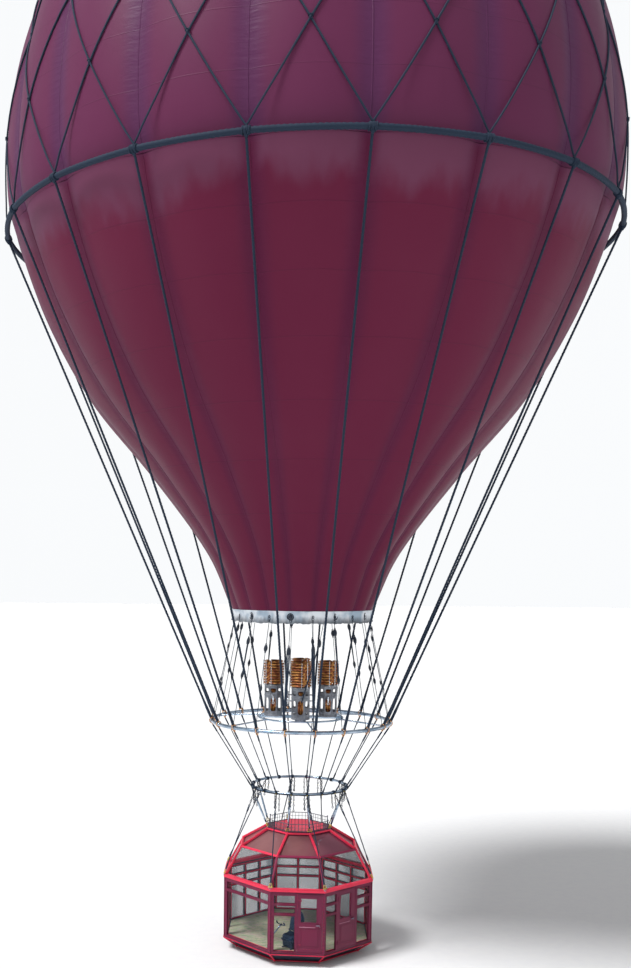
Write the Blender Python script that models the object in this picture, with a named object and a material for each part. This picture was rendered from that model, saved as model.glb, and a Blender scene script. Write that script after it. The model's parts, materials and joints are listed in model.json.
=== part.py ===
"""Hot-air balloon with a net, two load rings and an eight-sided glazed cabin.

Metres, +Z up. The origin is on the balloon's axis at the height of the equator rope, the front is -Y.
Run with: blender --background --python part.py
"""
import math

import bmesh
import bpy
from mathutils import Matrix, Vector

GAP = 0.0003

# Envelope
GORES = 20
SEAM_STEP = 2 * math.pi / GORES
FIRST_SEAM = SEAM_STEP / 2
FABRIC = 0.010
GORE_BULGE = 0.158
MOUTH_Z = -11.63
WIDEST_Z = 1.43
WIDEST_RADIUS = 9.35
DOME_HEIGHT = 11.2
LOWER_PROFILE = ((-11.63, 2.268), (-9.845, 3.037), (-7.351, 4.849), (-4.988, 6.799), (-2.494, 8.22),
                 (0.0, 9.18))
LOWER_ROWS = 9
MOUTH_BAND_HEIGHT = 0.39

# Ropes and net
BELT_RADIUS = 9.513
BELT_ROPE = 0.079
LOAD_ROPE = 0.036
NET_ROPE = 0.053
NET_ROWS = 7
NET_LIFT = 0.0012
NET_CORNER = 0.04885
CROWN_CORNER = 0.1203
ROPE_FLAT = math.cos(math.radians(22.5))
SLING_ROPE = 0.018
LASHING_ANGLE = math.radians(25)
LONG_SLINGS = ((-63, 7), (-27, 0), (9, 1), (45, 2))
SHORT_SLINGS = ((-81, 7), (-9, 0), (9, 1), (63, 2))
CROWN_RADIUS = 0.51
CROWN_RING_WIDTH = 0.145
CROWN_RING_HEIGHT = 0.06
CROWN_RING_RISE = 0.03

# Rings and burners
BURNER_RING_RADIUS = 2.951
BURNER_RING_TUBE = 0.058
BURNER_RING_Z = -15.351
LOAD_RING_RADIUS = 1.568
LOAD_RING_TUBE = 0.042
LOAD_RING_Z = -17.547
BURNER_PITCH = 0.905
BURNER_SIDE = 0.60
BURNER_BASE_Z = -15.195
BURNER_BODY_HEIGHT = 1.06
COIL_RADIUS = 0.35
COIL_HEIGHT = 0.80
COIL_TURNS = 9
HUB_RADIUS = 1.40
ARM_COUNT = 6
FIRST_ARM = math.radians(9)

# Cabin, an octagon that is mirrored about both axes
FRONT_HALF_WIDTH = 0.861
FRONT_Y = 2.342
SIDE_X = 2.431
SIDE_HALF_DEPTH = 0.809
FLOOR_Z = -22.575
WALL_TOP_Z = -20.555
BELT_RAIL_TOP_Z = -20.455
EAVE_Z = -19.541
DECK_Z = -18.985
DECK_TOP_Z = DECK_Z + 0.0503
BASE_Z = -22.985
EAVE_SCALE = 0.78
DECK_SCALE = 0.423
BASE_SCALE = 0.82
FLOOR_TOP_Z = FLOOR_Z + 0.035
FRAME_BAR = 0.07
FRAME_FOOT = (1.0, 0.03, BELT_RAIL_TOP_Z - 0.035)
FRAME_EAVE = (EAVE_SCALE, 0.0, EAVE_Z)
FRAME_TOP = (DECK_SCALE, 0.0, DECK_Z)
RAILING_BAR = 0.024
RAILING_HEIGHT = 0.25
FLANGE = 0.0247
WALL = 0.070
GLASS = 0.006
TRANSOM_Z = (-20.97, -21.30)
TRANSOM = 0.055
SILL = 0.045
HEADER = 0.11

# Doors
DOOR_WIDTH = 0.80
DOOR_HEAD_Z = -20.59
DOOR_CLEARANCE = 0.006
DOOR_THICKNESS = 0.045
HINGE_PROUD = 0.012
HINGE_BARREL = 0.010
HINGE_LENGTH = 0.07
HINGE_LEVELS = (0.22, 1.66)
FRONT_DOOR_START = 0.86
SIDE_DOOR_START = 0.617

# Seat and steering
SEAT_X = -0.19
SEAT_Y = -1.81
SEAT_TURN = math.radians(46)
SEAT_BACK_HEIGHT = 0.70
SEAT_WIDTH = 0.58
SEAT_TOP = 0.50
YOKE_CENTRE = Vector((-0.523, -1.854, -21.782))
COLUMN_BEND = Vector((-0.805, -2.142, -22.068))
COLUMN_RADIUS = 0.022

RED = ("cabin_red", (0.52, 0.035, 0.09), 0.35, 0.0)
BURGUNDY = ("envelope_burgundy", (0.16, 0.022, 0.055), 0.45, 0.0)
NAVY = ("rope_navy", (0.02, 0.035, 0.07), 0.8, 0.0)
STEEL = ("ring_steel", (0.35, 0.45, 0.58), 0.25, 1.0)
BURNER_STEEL = ("burner_steel", (0.30, 0.31, 0.34), 0.45, 1.0)
COPPER = ("coil_copper", (0.55, 0.24, 0.09), 0.3, 1.0)
BAND_WHITE = ("mouth_band_silver", (0.62, 0.66, 0.72), 0.5, 0.0)
CLEAR = ("clear_glass", (0.80, 0.86, 0.90), 0.05, 0.0)
ROOF_TINT = ("roof_tint", (0.20, 0.08, 0.09), 0.15, 0.0)
CARPET = ("floor_khaki", (0.27, 0.25, 0.13), 0.9, 0.0)
SKIRT_NAVY = ("skirt_navy", (0.02, 0.03, 0.06), 0.6, 0.0)
SEAT_NAVY = ("seat_navy", (0.015, 0.025, 0.05), 0.6, 0.0)
BLACK = ("grip_black", (0.02, 0.02, 0.025), 0.5, 0.0)


def clear_scene():
    for item in list(bpy.data.objects):
        bpy.data.objects.remove(item, do_unlink=True)


def material(spec):
    name, colour, roughness, metallic = spec
    found = bpy.data.materials.get(name)
    if found:
        return found
    made = bpy.data.materials.new(name)
    made.use_nodes = True
    shader = made.node_tree.nodes["Principled BSDF"]
    shader.inputs["Base Color"].default_value = (*colour, 1)
    shader.inputs["Roughness"].default_value = roughness
    shader.inputs["Metallic"].default_value = metallic
    return made


def object_from(bm, name, spec, smooth=False):
    bmesh.ops.recalc_face_normals(bm, faces=bm.faces)
    mesh = bpy.data.meshes.new(name)
    bm.to_mesh(mesh)
    bm.free()
    mesh.materials.append(material(spec))
    if smooth:
        mesh.shade_smooth()
        mesh.set_sharp_from_angle(angle=math.radians(40))
    made = bpy.data.objects.new(name, mesh)
    bpy.context.collection.objects.link(made)
    return made


def union(target, tool):
    """Join tool to target and keep one closed body."""
    cut = target.modifiers.new("union_" + tool.name, "BOOLEAN")
    cut.operation = "UNION"
    cut.solver = "EXACT"
    cut.object = tool
    tool.hide_render = True
    tool.display_type = "WIRE"
    return cut


def around(radius, azimuth, z):
    """A point at an azimuth counted from the front, towards +X."""
    return Vector((radius * math.sin(azimuth), -radius * math.cos(azimuth), z))


def seam_azimuth(index):
    return FIRST_SEAM + index * SEAM_STEP


def through_points(points, z):
    """Radius at z on a smooth curve through (z, radius) points."""
    count = len(points)
    slopes = []
    for i in range(count):
        low = points[max(i - 1, 0)]
        high = points[min(i + 1, count - 1)]
        slopes.append((high[1] - low[1]) / (high[0] - low[0]))
    for i in range(count - 1):
        z0, r0 = points[i]
        z1, r1 = points[i + 1]
        if z <= z1 or i == count - 2:
            span = z1 - z0
            t = (z - z0) / span
            h00 = (1 + 2 * t) * (1 - t) ** 2
            h10 = t * (1 - t) ** 2
            h01 = t * t * (3 - 2 * t)
            h11 = t * t * (t - 1)
            return h00 * r0 + h10 * span * slopes[i] + h01 * r1 + h11 * span * slopes[i + 1]
    return points[-1][1]


def dome_points(samples=400):
    """The upper profile from the equator rope to the axis, as (arc length, radius, z)."""
    start = math.asin(-WIDEST_Z / DOME_HEIGHT)
    result = []
    length = 0.0
    for i in range(samples + 1):
        angle = start + (math.pi / 2 - start) * i / samples
        radius = WIDEST_RADIUS * math.cos(angle)
        z = WIDEST_Z + DOME_HEIGHT * math.sin(angle)
        if result:
            length += math.hypot(radius - result[-1][1], z - result[-1][2])
        result.append((length, radius, z))
    return result


DOME = dome_points()


def dome_at_length(length):
    for before, after in zip(DOME, DOME[1:]):
        if length <= after[0]:
            t = (length - before[0]) / (after[0] - before[0])
            return before[1] + t * (after[1] - before[1]), before[2] + t * (after[2] - before[2])
    return DOME[-1][1], DOME[-1][2]


def dome_length_at_radius(radius):
    for before, after in zip(DOME[100:], DOME[101:]):
        if after[1] <= radius:
            return after[0]
    return DOME[-1][0]


def bulge(fraction):
    """How far the middle of a gore stands out, from the mouth (0) or the crown (1)."""
    return GORE_BULGE * math.sin(math.pi * min(max(fraction, 0.0), 1.0)) ** 0.5


CROWN_LENGTH = dome_length_at_radius(CROWN_RADIUS)
NET_ROW_LENGTH = CROWN_LENGTH / NET_ROWS


def lower_rows():
    """Rows of (radius, z, gore stand-out) from the mouth to the equator rope."""
    rows = []
    for i in range(LOWER_ROWS):
        z = MOUTH_Z * (1 - i / (LOWER_ROWS - 1))
        rows.append((through_points(LOWER_PROFILE, z), z, bulge(0.06 + 0.5 * i / (LOWER_ROWS - 1))))
    return rows


def upper_rows():
    """Rows from the equator rope to the vent, one for each row of the net."""
    rows = []
    for i in range(NET_ROWS):
        radius, z = dome_at_length(i * NET_ROW_LENGTH)
        if i == 0:
            radius, z = LOWER_PROFILE[-1][1], 0.0
        rows.append((radius, z, bulge(0.56 + 0.40 * i / (NET_ROWS - 1))))
    return rows


def outward(rows, index):
    """The profile's outward direction at a row, as (radial, vertical)."""
    low = rows[max(index - 1, 0)]
    high = rows[min(index + 1, len(rows) - 1)]
    tangent = Vector((high[0] - low[0], high[1] - low[1])).normalized()
    return tangent.y, -tangent.x


def gore_row(radius, z, stand_out):
    """A seam at each even column and the gore's middle at each odd one."""
    row = []
    for column in range(2 * GORES):
        extra = stand_out if column % 2 else 0.0
        row.append(around(radius + extra, FIRST_SEAM + column * SEAM_STEP / 2, z))
    return row


def fabric_shell(name, rows, directions, spec, capped=False):
    """A closed shell of the fabric's thickness, its faces split along the net's diagonals."""
    bm = bmesh.new()
    skins = []
    for depth in (0.0, FABRIC):
        skin = []
        for (radius, z, stand_out), (radial, vertical) in zip(rows, directions):
            row = gore_row(radius - depth * radial, z - depth * vertical, stand_out)
            skin.append([bm.verts.new(point) for point in row])
        skins.append(skin)
    columns = 2 * GORES
    for skin in skins:
        for row in range(len(skin) - 1):
            for column in range(columns):
                following = (column + 1) % columns
                a, b = skin[row][column], skin[row][following]
                c, d = skin[row + 1][following], skin[row + 1][column]
                if (row + column) % 2 == 0:
                    bm.faces.new((a, b, c))
                    bm.faces.new((a, c, d))
                else:
                    bm.faces.new((a, b, d))
                    bm.faces.new((b, c, d))
    edges = [0] if capped else [0, -1]
    for edge in edges:
        for column in range(columns):
            following = (column + 1) % columns
            bm.faces.new((skins[0][edge][column], skins[0][edge][following],
                          skins[1][edge][following], skins[1][edge][column]))
    if capped:
        bm.faces.new(skins[0][-1])
        bm.faces.new(skins[1][-1])
    return object_from(bm, name, spec, smooth=True)


def tube_between(bm, start, end, radius, sides):
    """A closed round bar from start to end."""
    along = (end - start).normalized()
    helper = Vector((0, 0, 1)) if abs(along.z) < 0.9 else Vector((1, 0, 0))
    side = along.cross(helper).normalized()
    up = side.cross(along)
    rings = []
    for centre in (start, end):
        ring = []
        for i in range(sides):
            angle = 2 * math.pi * i / sides
            ring.append(bm.verts.new(centre + radius * (math.cos(angle) * side + math.sin(angle) * up)))
        rings.append(ring)
    for i in range(sides):
        j = (i + 1) % sides
        bm.faces.new((rings[0][i], rings[0][j], rings[1][j], rings[1][i]))
    bm.faces.new(rings[0])
    bm.faces.new(rings[1])


def torus(bm, radius, tube, z, segments, sides, first=0.0, tilt=0.0):
    rings = []
    for i in range(segments):
        azimuth = first + 2 * math.pi * i / segments
        ring = []
        for k in range(sides):
            angle = tilt + 2 * math.pi * k / sides
            point = around(radius + tube * math.cos(angle), azimuth, z + tube * math.sin(angle))
            ring.append(bm.verts.new(point))
        rings.append(ring)
    for i in range(segments):
        near, far = rings[i], rings[(i + 1) % segments]
        for k in range(sides):
            m = (k + 1) % sides
            bm.faces.new((near[k], far[k], far[m], near[m]))


def lattice(name, grid, thickness, spec):
    """Bars along every edge of a closed band of quads, joined at the corners."""
    bm = bmesh.new()
    points = [[bm.verts.new(point) for point in line] for line in grid]
    count = len(grid[0])
    for row in range(len(grid) - 1):
        for i in range(count):
            j = (i + 1) % count
            bm.faces.new((points[row][i], points[row][j], points[row + 1][j], points[row + 1][i]))
    band = object_from(bm, name, spec)
    bars = band.modifiers.new("bars", "WIREFRAME")
    bars.thickness = thickness
    bars.use_boundary = True
    bars.use_replace = True
    bars.use_even_offset = True
    return band


def octagon(scale, inset, z):
    """Corners of the cabin's outline, counted from the front's left corner towards +X."""
    quarter = [(-FRONT_HALF_WIDTH, -FRONT_Y), (FRONT_HALF_WIDTH, -FRONT_Y), (SIDE_X, -SIDE_HALF_DEPTH),
               (SIDE_X, SIDE_HALF_DEPTH)]
    corners = [Vector(point) * scale for point in quarter + [(-x, -y) for x, y in quarter]]
    lines = []
    for i in range(8):
        a, b = corners[i], corners[(i + 1) % 8]
        direction = (b - a).normalized()
        inward = Vector((-direction.y, direction.x))
        lines.append((a + inward * inset, direction))
    result = []
    for i in range(8):
        point, direction = lines[i - 1]
        other, turn = lines[i]
        cross = direction.x * turn.y - direction.y * turn.x
        offset = other - point
        reach = (offset.x * turn.y - offset.y * turn.x) / cross
        crossing = point + direction * reach
        result.append(Vector((crossing.x, crossing.y, z)))
    return result


def octagon_ring(name, loops, spec):
    """A closed ring whose cross-section runs through octagons of (scale, inset, z)."""
    bm = bmesh.new()
    rings = [[bm.verts.new(point) for point in octagon(*loop)] for loop in loops]
    for i in range(len(rings)):
        near, far = rings[i], rings[(i + 1) % len(rings)]
        for k in range(8):
            m = (k + 1) % 8
            bm.faces.new((near[k], near[m], far[m], far[k]))
    return object_from(bm, name, spec)


def octagon_block(name, loops, spec):
    """A closed block through octagons of (scale, inset, z), from the lowest to the highest."""
    bm = bmesh.new()
    rings = [[bm.verts.new(point) for point in octagon(*loop)] for loop in loops]
    for near, far in zip(rings, rings[1:]):
        for k in range(8):
            m = (k + 1) % 8
            bm.faces.new((near[k], near[m], far[m], far[k]))
    bm.faces.new(rings[0])
    bm.faces.new(rings[-1])
    return object_from(bm, name, spec)


def wall_frame(index):
    """Corner, direction, inward normal and length of one cabin side."""
    corners = octagon(1.0, 0.0, 0.0)
    start, end = corners[index], corners[(index + 1) % 8]
    along = (end - start).normalized()
    inward = Vector((-along.y, along.x, 0))
    return start, along, inward, (end - start).length


def mitre(index):
    """Half the turn at a side's first and last corner, as a tangent."""
    _, along, _, _ = wall_frame(index)
    _, before, _, _ = wall_frame((index - 1) % 8)
    _, after, _, _ = wall_frame((index + 1) % 8)
    return math.tan(before.angle(along) / 2), math.tan(along.angle(after) / 2)


def panel(name, index, across, up, holes, near, far, spec, clear=GAP):
    """A flat wall between the depths near and far with its holes left out.

    across and up are the cell borders, holes the (column, row) cells that stay open.
    """
    start, along, inward, length = wall_frame(index)
    left, right = mitre(index)
    bm = bmesh.new()
    columns, rows = len(across) - 1, len(up) - 1
    corners = {}

    def corner(i, k, depth):
        key = (i, k, depth)
        if key not in corners:
            u = across[i]
            if i == 0 and across[0] == 0:
                u = depth * left + clear
            if i == columns and abs(across[-1] - length) < 1e-6:
                u = length - depth * right - clear
            corners[key] = bm.verts.new(start + along * u + inward * depth + Vector((0, 0, up[k])))
        return corners[key]

    def solid(i, k):
        return 0 <= i < columns and 0 <= k < rows and (i, k) not in holes

    for i in range(columns):
        for k in range(rows):
            if not solid(i, k):
                continue
            for depth in (near, far):
                spots = ((i, k), (i + 1, k), (i + 1, k + 1), (i, k + 1))
                bm.faces.new([corner(*spot, depth) for spot in spots])
            edges = (((i, k), (i + 1, k), (i, k - 1)), ((i, k + 1), (i + 1, k + 1), (i, k + 1)),
                     ((i, k), (i, k + 1), (i - 1, k)), ((i + 1, k), (i + 1, k + 1), (i + 1, k)))
            for first, second, beyond in edges:
                if not solid(*beyond):
                    bm.faces.new((corner(*first, near), corner(*second, near),
                                  corner(*second, far), corner(*first, far)))
    return object_from(bm, name, spec)


def box(bm, low, high, matrix=None):
    made = bmesh.ops.create_cube(bm, size=1)["verts"]
    size = Vector(high) - Vector(low)
    middle = (Vector(high) + Vector(low)) / 2
    for vert in made:
        vert.co = Vector((vert.co.x * size.x, vert.co.y * size.y, vert.co.z * size.z)) + middle
        if matrix:
            vert.co = matrix @ vert.co
    return made


def build_envelope():
    level = (1.0, 0.0)
    rows = [(radius, z - GAP / 2, out) for radius, z, out in lower_rows()]
    inner = [outward(rows, i) for i in range(1, len(rows) - 1)]
    fabric_shell("envelope_lower", rows, [level] + inner + [level], BURGUNDY)
    rows = [(radius, z + GAP / 2, out) for radius, z, out in upper_rows()]
    inner = [outward(rows, i) for i in range(1, len(rows))]
    fabric_shell("envelope_upper", rows, [level] + inner, BURGUNDY)
    radius, z, out = lower_rows()[0]
    band = [(radius, z - GAP - MOUTH_BAND_HEIGHT, out), (radius, z - GAP, out)]
    fabric_shell("mouth_band", band, [level, level], BAND_WHITE)


def build_vent():
    """The parachute vent closes the top opening, edge to edge with the last fabric row."""
    rows = upper_rows()
    radial, vertical = outward(rows, len(rows) - 1)
    radius, z, out = rows[-1]
    crown_z = dome_at_length(CROWN_LENGTH)[1]
    gap = 2 * GAP
    vent = [(radius - vertical * gap, z + radial * gap, out),
            (radius * 0.6, z + 0.45 * (crown_z - z), out * 0.5), (radius * 0.2, crown_z - 0.01, 0.0)]
    directions = [(radial, vertical), (radial, vertical), (0.0, 1.0)]
    fabric_shell("parachute_vent", vent, directions, BURGUNDY, True)


def net_nodes():
    """Net crossings row by row, over the seams in even rows and over the gores' middles in odd ones."""
    rows = upper_rows()
    nodes = []
    for i, (radius, z, stand_out) in enumerate(rows):
        radial, vertical = outward(rows, i)
        lift = NET_LIFT + NET_ROPE / 2
        out = stand_out if i % 2 else 0.0
        nodes.append([around(radius + out + radial * lift, FIRST_SEAM + (k + 0.5 * (i % 2)) * SEAM_STEP,
                             z + vertical * lift) for k in range(GORES)])
    foot_z = BELT_ROPE * ROPE_FLAT + NET_CORNER + GAP
    nodes[0] = [around(BELT_RADIUS, seam_azimuth(k), foot_z) for k in range(GORES)]
    shift = 0.5 * (NET_ROWS % 2)
    nodes.append([around(CROWN_RADIUS + CROWN_CORNER, FIRST_SEAM + (k + shift) * SEAM_STEP, crown_ring_z())
                  for k in range(GORES)])
    return nodes


def build_net():
    """Diamonds of rope from the equator rope to the crown ring."""
    bm = bmesh.new()
    points = [[bm.verts.new(point) for point in row] for row in net_nodes()]
    for row in range(len(points) - 2):
        for k in range(GORES):
            left = k - 1 if row % 2 == 0 else k
            right = (left + 1) % GORES
            bm.faces.new((points[row][k], points[row + 1][right], points[row + 2][k], points[row + 1][left]))
    net = object_from(bm, "net", NAVY)
    bars = net.modifiers.new("ropes", "WIREFRAME")
    bars.thickness = NET_ROPE
    bars.use_boundary = True
    bars.use_replace = True
    bars.use_even_offset = True


def build_belt_and_load_ropes():
    bm = bmesh.new()
    torus(bm, BELT_RADIUS, BELT_ROPE, 0.0, 2 * GORES, 8, FIRST_SEAM, math.radians(22.5))
    belt = object_from(bm, "belt_and_load_ropes", NAVY, smooth=True)
    bm = bmesh.new()
    for k in range(GORES):
        azimuth = seam_azimuth(k)
        top = around(BELT_RADIUS, azimuth, 0.0)
        ring = around(BURNER_RING_RADIUS, azimuth, BURNER_RING_Z)
        away = (top - ring).normalized()
        tube_between(bm, ring + away * (BURNER_RING_TUBE + GAP), top, LOAD_ROPE, 6)
    union(belt, object_from(bm, "load_rope_cutter", NAVY))


def crown_ring_z():
    return dome_at_length(CROWN_LENGTH)[1] + NET_LIFT + NET_ROPE / 2


def build_crown_ring():
    bm = bmesh.new()
    z = crown_ring_z() + CROWN_RING_RISE
    outer = CROWN_RADIUS
    rings = []
    half = CROWN_RING_HEIGHT / 2
    for radius, height in ((outer, -half), (outer, half), (outer - CROWN_RING_WIDTH, half),
                           (outer - CROWN_RING_WIDTH, -half)):
        rings.append([bm.verts.new(around(radius, seam_azimuth(k), z + height)) for k in range(GORES)])
    for i in range(4):
        near, far = rings[i], rings[(i + 1) % 4]
        for k in range(GORES):
            m = (k + 1) % GORES
            bm.faces.new((near[k], near[m], far[m], far[k]))
    object_from(bm, "crown_ring", STEEL)


def build_rings():
    bm = bmesh.new()
    tilt = math.radians(22.5)
    torus(bm, BURNER_RING_RADIUS, BURNER_RING_TUBE, BURNER_RING_Z, 3 * GORES, 8, FIRST_SEAM, tilt)
    object_from(bm, "burner_ring", STEEL, smooth=True)


def sling_routes(routes):
    """Each (ring azimuth in degrees, cabin corner) and its twin on the far side."""
    result = []
    for degrees, corner in routes:
        result.append((math.radians(degrees), corner))
        result.append((math.radians(degrees + 180), (corner + 4) % 8))
    return result


def build_load_ring():
    bm = bmesh.new()
    torus(bm, LOAD_RING_RADIUS, LOAD_RING_TUBE, LOAD_RING_Z, 2 * GORES, 8, FIRST_SEAM, math.radians(22.5))
    object_from(bm, "load_ring", STEEL, smooth=True)


def build_slings():
    """Risers and slings, spliced to a rope that is lashed round the load ring's outside."""
    reach = LOAD_RING_TUBE + SLING_ROPE - 2 * GAP
    splice_radius = LOAD_RING_RADIUS + reach * math.cos(LASHING_ANGLE)
    splice_z = LOAD_RING_Z - reach * math.sin(LASHING_ANGLE)
    bm = bmesh.new()
    torus(bm, splice_radius, SLING_ROPE, splice_z, 2 * GORES, 8, FIRST_SEAM, LASHING_ANGLE)
    loop = object_from(bm, "risers_and_slings", NAVY, smooth=True)
    bm = bmesh.new()
    for k in range(GORES):
        azimuth = seam_azimuth(k)
        low = around(splice_radius, azimuth, splice_z)
        high = around(BURNER_RING_RADIUS, azimuth, BURNER_RING_Z)
        down = (low - high).normalized()
        tube_between(bm, low, high + down * (BURNER_RING_TUBE + GAP), SLING_ROPE, 5)
    union(loop, object_from(bm, "riser_cutter", NAVY))
    belt_corners = [point + Vector((point.x, point.y, 0)).normalized() * 0.02
                    for point in octagon(1.0, 0.0, BELT_RAIL_TOP_Z + GAP)]
    deck_corners = octagon(DECK_SCALE, 0.0, DECK_TOP_Z + GAP)
    slings = (("long", belt_corners, LONG_SLINGS), ("short", deck_corners, SHORT_SLINGS))
    for label, corners, routes in slings:
        bm = bmesh.new()
        for azimuth, corner in sling_routes(routes):
            start = around(splice_radius, azimuth, splice_z)
            run = (corners[corner] - start).normalized()
            foot = Vector((0, 0, SLING_ROPE * math.hypot(run.x, run.y)))
            tube_between(bm, start, corners[corner] + foot, SLING_ROPE, 5)
        union(loop, object_from(bm, label + "_sling_cutter", NAVY))


def build_burner_frame():
    bm = bmesh.new()
    hub_z = BURNER_BASE_Z - 0.03 - GAP
    torus(bm, HUB_RADIUS, 0.030, hub_z, 24, 6, FIRST_ARM)
    frame = object_from(bm, "burner_frame", STEEL, smooth=True)
    bm = bmesh.new()
    for k in range(ARM_COUNT):
        azimuth = FIRST_ARM + k * 2 * math.pi / ARM_COUNT
        ring = around(BURNER_RING_RADIUS, azimuth, BURNER_RING_Z)
        hub = around(HUB_RADIUS, azimuth, hub_z)
        away = (hub - ring).normalized()
        tube_between(bm, hub, ring + away * (BURNER_RING_TUBE * ROPE_FLAT + 0.0027), 0.022, 6)
    arms = object_from(bm, "arm_cutter", STEEL)
    union(frame, arms)
    bm = bmesh.new()
    half = BURNER_SIDE * 0.3
    box(bm, (-HUB_RADIUS, -half, hub_z - 0.03), (HUB_RADIUS, half, hub_z + 0.03))
    plate = object_from(bm, "plate_cutter", STEEL)
    union(frame, plate)
    bm = bmesh.new()
    box(bm, (-half, -HUB_RADIUS, hub_z - 0.03), (half, HUB_RADIUS, hub_z + 0.03))
    union(frame, object_from(bm, "cross_plate_cutter", STEEL))


def build_burner(index):
    azimuth = index * math.pi / 2
    centre = around(BURNER_PITCH, azimuth, BURNER_BASE_Z)
    half = BURNER_SIDE / 2
    chamfer = 0.09
    outline = []
    for sx, sy in ((1, 1), (-1, 1), (-1, -1), (1, -1)):
        corner = [(half * sx, (half - chamfer) * sy), ((half - chamfer) * sx, half * sy)]
        outline += corner if sx * sy > 0 else corner[::-1]
    bm = bmesh.new()
    levels = (0.0, BURNER_BODY_HEIGHT)
    rings = [[bm.verts.new(centre + Vector((x, y, z))) for x, y in outline] for z in levels]
    for i in range(8):
        j = (i + 1) % 8
        bm.faces.new((rings[0][i], rings[0][j], rings[1][j], rings[1][i]))
    bm.faces.new(rings[0])
    bm.faces.new(rings[1])
    body = object_from(bm, f"burner_body_{index + 1}", BURNER_STEEL)

    bm = bmesh.new()
    low, high = 0.16, BURNER_BODY_HEIGHT - 0.30
    box(bm, (-1, -0.09, low), (1, 0.09, high), Matrix.Translation(centre))
    window = object_from(bm, f"burner_window_x_{index + 1}", BURNER_STEEL)
    bm = bmesh.new()
    box(bm, (-0.09, -1, low), (0.09, 1, high), Matrix.Translation(centre))
    cross = object_from(bm, f"burner_window_y_{index + 1}", BURNER_STEEL)
    for cutter in (window, cross):
        cut = body.modifiers.new(cutter.name, "BOOLEAN")
        cut.operation = "DIFFERENCE"
        cut.solver = "EXACT"
        cut.object = cutter
        cutter.hide_render = True
        cutter.display_type = "WIRE"

    bm = bmesh.new()
    sides = 14
    bottom = centre.z + BURNER_BODY_HEIGHT + GAP
    turn = COIL_HEIGHT / COIL_TURNS
    profile = []
    for i in range(COIL_TURNS):
        profile.append((COIL_RADIUS - 0.022, bottom + i * turn))
        profile.append((COIL_RADIUS, bottom + (i + 0.5) * turn))
    profile.append((COIL_RADIUS - 0.022, bottom + COIL_HEIGHT))
    profile.append((COIL_RADIUS - 0.05, bottom + COIL_HEIGHT))
    profile.append((COIL_RADIUS - 0.05, bottom))
    rings = []
    for radius, z in profile:
        ring = []
        for k in range(sides):
            angle = 2 * math.pi * k / sides
            ring.append(bm.verts.new(Vector((centre.x + radius * math.cos(angle),
                                             centre.y + radius * math.sin(angle), z))))
        rings.append(ring)
    for i in range(len(rings)):
        near, far = rings[i], rings[(i + 1) % len(rings)]
        for k in range(sides):
            m = (k + 1) % sides
            bm.faces.new((near[k], near[m], far[m], far[k]))
    object_from(bm, f"burner_coil_{index + 1}", COPPER, smooth=True)


def pane_levels(transoms):
    """Heights of the wall's rails from the sill up, for a window column."""
    levels = [FLOOR_Z, FLOOR_Z + SILL]
    for z in sorted(transoms):
        levels += [z - TRANSOM / 2, z + TRANSOM / 2]
    levels += [WALL_TOP_Z - HEADER, WALL_TOP_Z]
    return levels


def window_wall(name, index, panes, transoms):
    """A wall with panes across, given as (start, end) along it, and transoms over all of them."""
    length = wall_frame(index)[3]
    across = [0.0]
    for start, end in panes:
        across += [start, end]
    across.append(length)
    up = pane_levels(transoms)
    holes = set()
    for pane in range(len(panes)):
        for row in range(1, len(up) - 1, 2):
            holes.add((1 + 2 * pane, row))
    return panel(name, index, across, up, holes, 0.0, WALL, RED)


def glass_sheet(name, index, across, up, holes):
    return panel(name, index, across, up, holes, WALL + GAP, WALL + GAP + GLASS, CLEAR)


def even_panes(index, count, post=0.055, corner=0.10):
    length = wall_frame(index)[3]
    width = (length - 2 * corner - (count - 1) * post) / count
    return [(corner + i * (width + post), corner + i * (width + post) + width) for i in range(count)]


def build_walls():
    glass_low, glass_high = FLOOR_Z + SILL - 0.01, WALL_TOP_Z
    side_panes = {
        "right": (2, 2, TRANSOM_Z), "back_right": (3, 3, TRANSOM_Z), "back": (4, 2, TRANSOM_Z),
        "back_left": (5, 3, TRANSOM_Z), "left": (6, 2, TRANSOM_Z), "front_left": (7, 1, TRANSOM_Z[:1]),
    }
    for side, (index, count, transoms) in side_panes.items():
        window_wall(f"wall_{side}", index, even_panes(index, count), transoms)
        length = wall_frame(index)[3]
        glass_sheet(f"glass_{side}", index, [0.0, length], [glass_low, glass_high], set())


def door_wall(name, index, columns, window_columns, door_column):
    """A wall with window columns and one door opening."""
    up = pane_levels(TRANSOM_Z)
    up = up[:-2] + [WALL_TOP_Z - HEADER, DOOR_HEAD_Z, WALL_TOP_Z]
    holes = set()
    for column in window_columns:
        for row in (1, 3, 5):
            holes.add((column, row))
    for row in range(1, len(up) - 2):
        holes.add((door_column, row))
    return panel(name, index, columns, up, holes, 0.0, WALL, RED)


def build_door_walls():
    glass_low, glass_high = FLOOR_Z + SILL - 0.01, WALL_TOP_Z
    length = wall_frame(0)[3]
    door_end = FRONT_DOOR_START + DOOR_WIDTH
    columns = [0.0, 0.10, FRONT_DOOR_START - 0.07, FRONT_DOOR_START, door_end, length]
    front = door_wall("wall_front", 0, columns, [1], 3)
    glass_sheet("glass_front", 0, [0.0, FRONT_DOOR_START - 0.035], [glass_low, glass_high], set())
    length = wall_frame(1)[3]
    door_end = SIDE_DOOR_START + DOOR_WIDTH
    right_pane = (door_end + 0.07, length - 0.10)
    columns = [0.0, 0.065, SIDE_DOOR_START - 0.07, SIDE_DOOR_START, door_end, *right_pane, length]
    side = door_wall("wall_front_right", 1, columns, [1, 5], 3)
    add_wall_knuckles(front, 0, FRONT_DOOR_START)
    add_wall_knuckles(side, 1, SIDE_DOOR_START)
    glass_sheet("glass_front_right", 1, [0.0, SIDE_DOOR_START - 0.035, door_end + 0.035, length],
                [glass_low, DOOR_HEAD_Z, glass_high], {(1, 0)})


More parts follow.
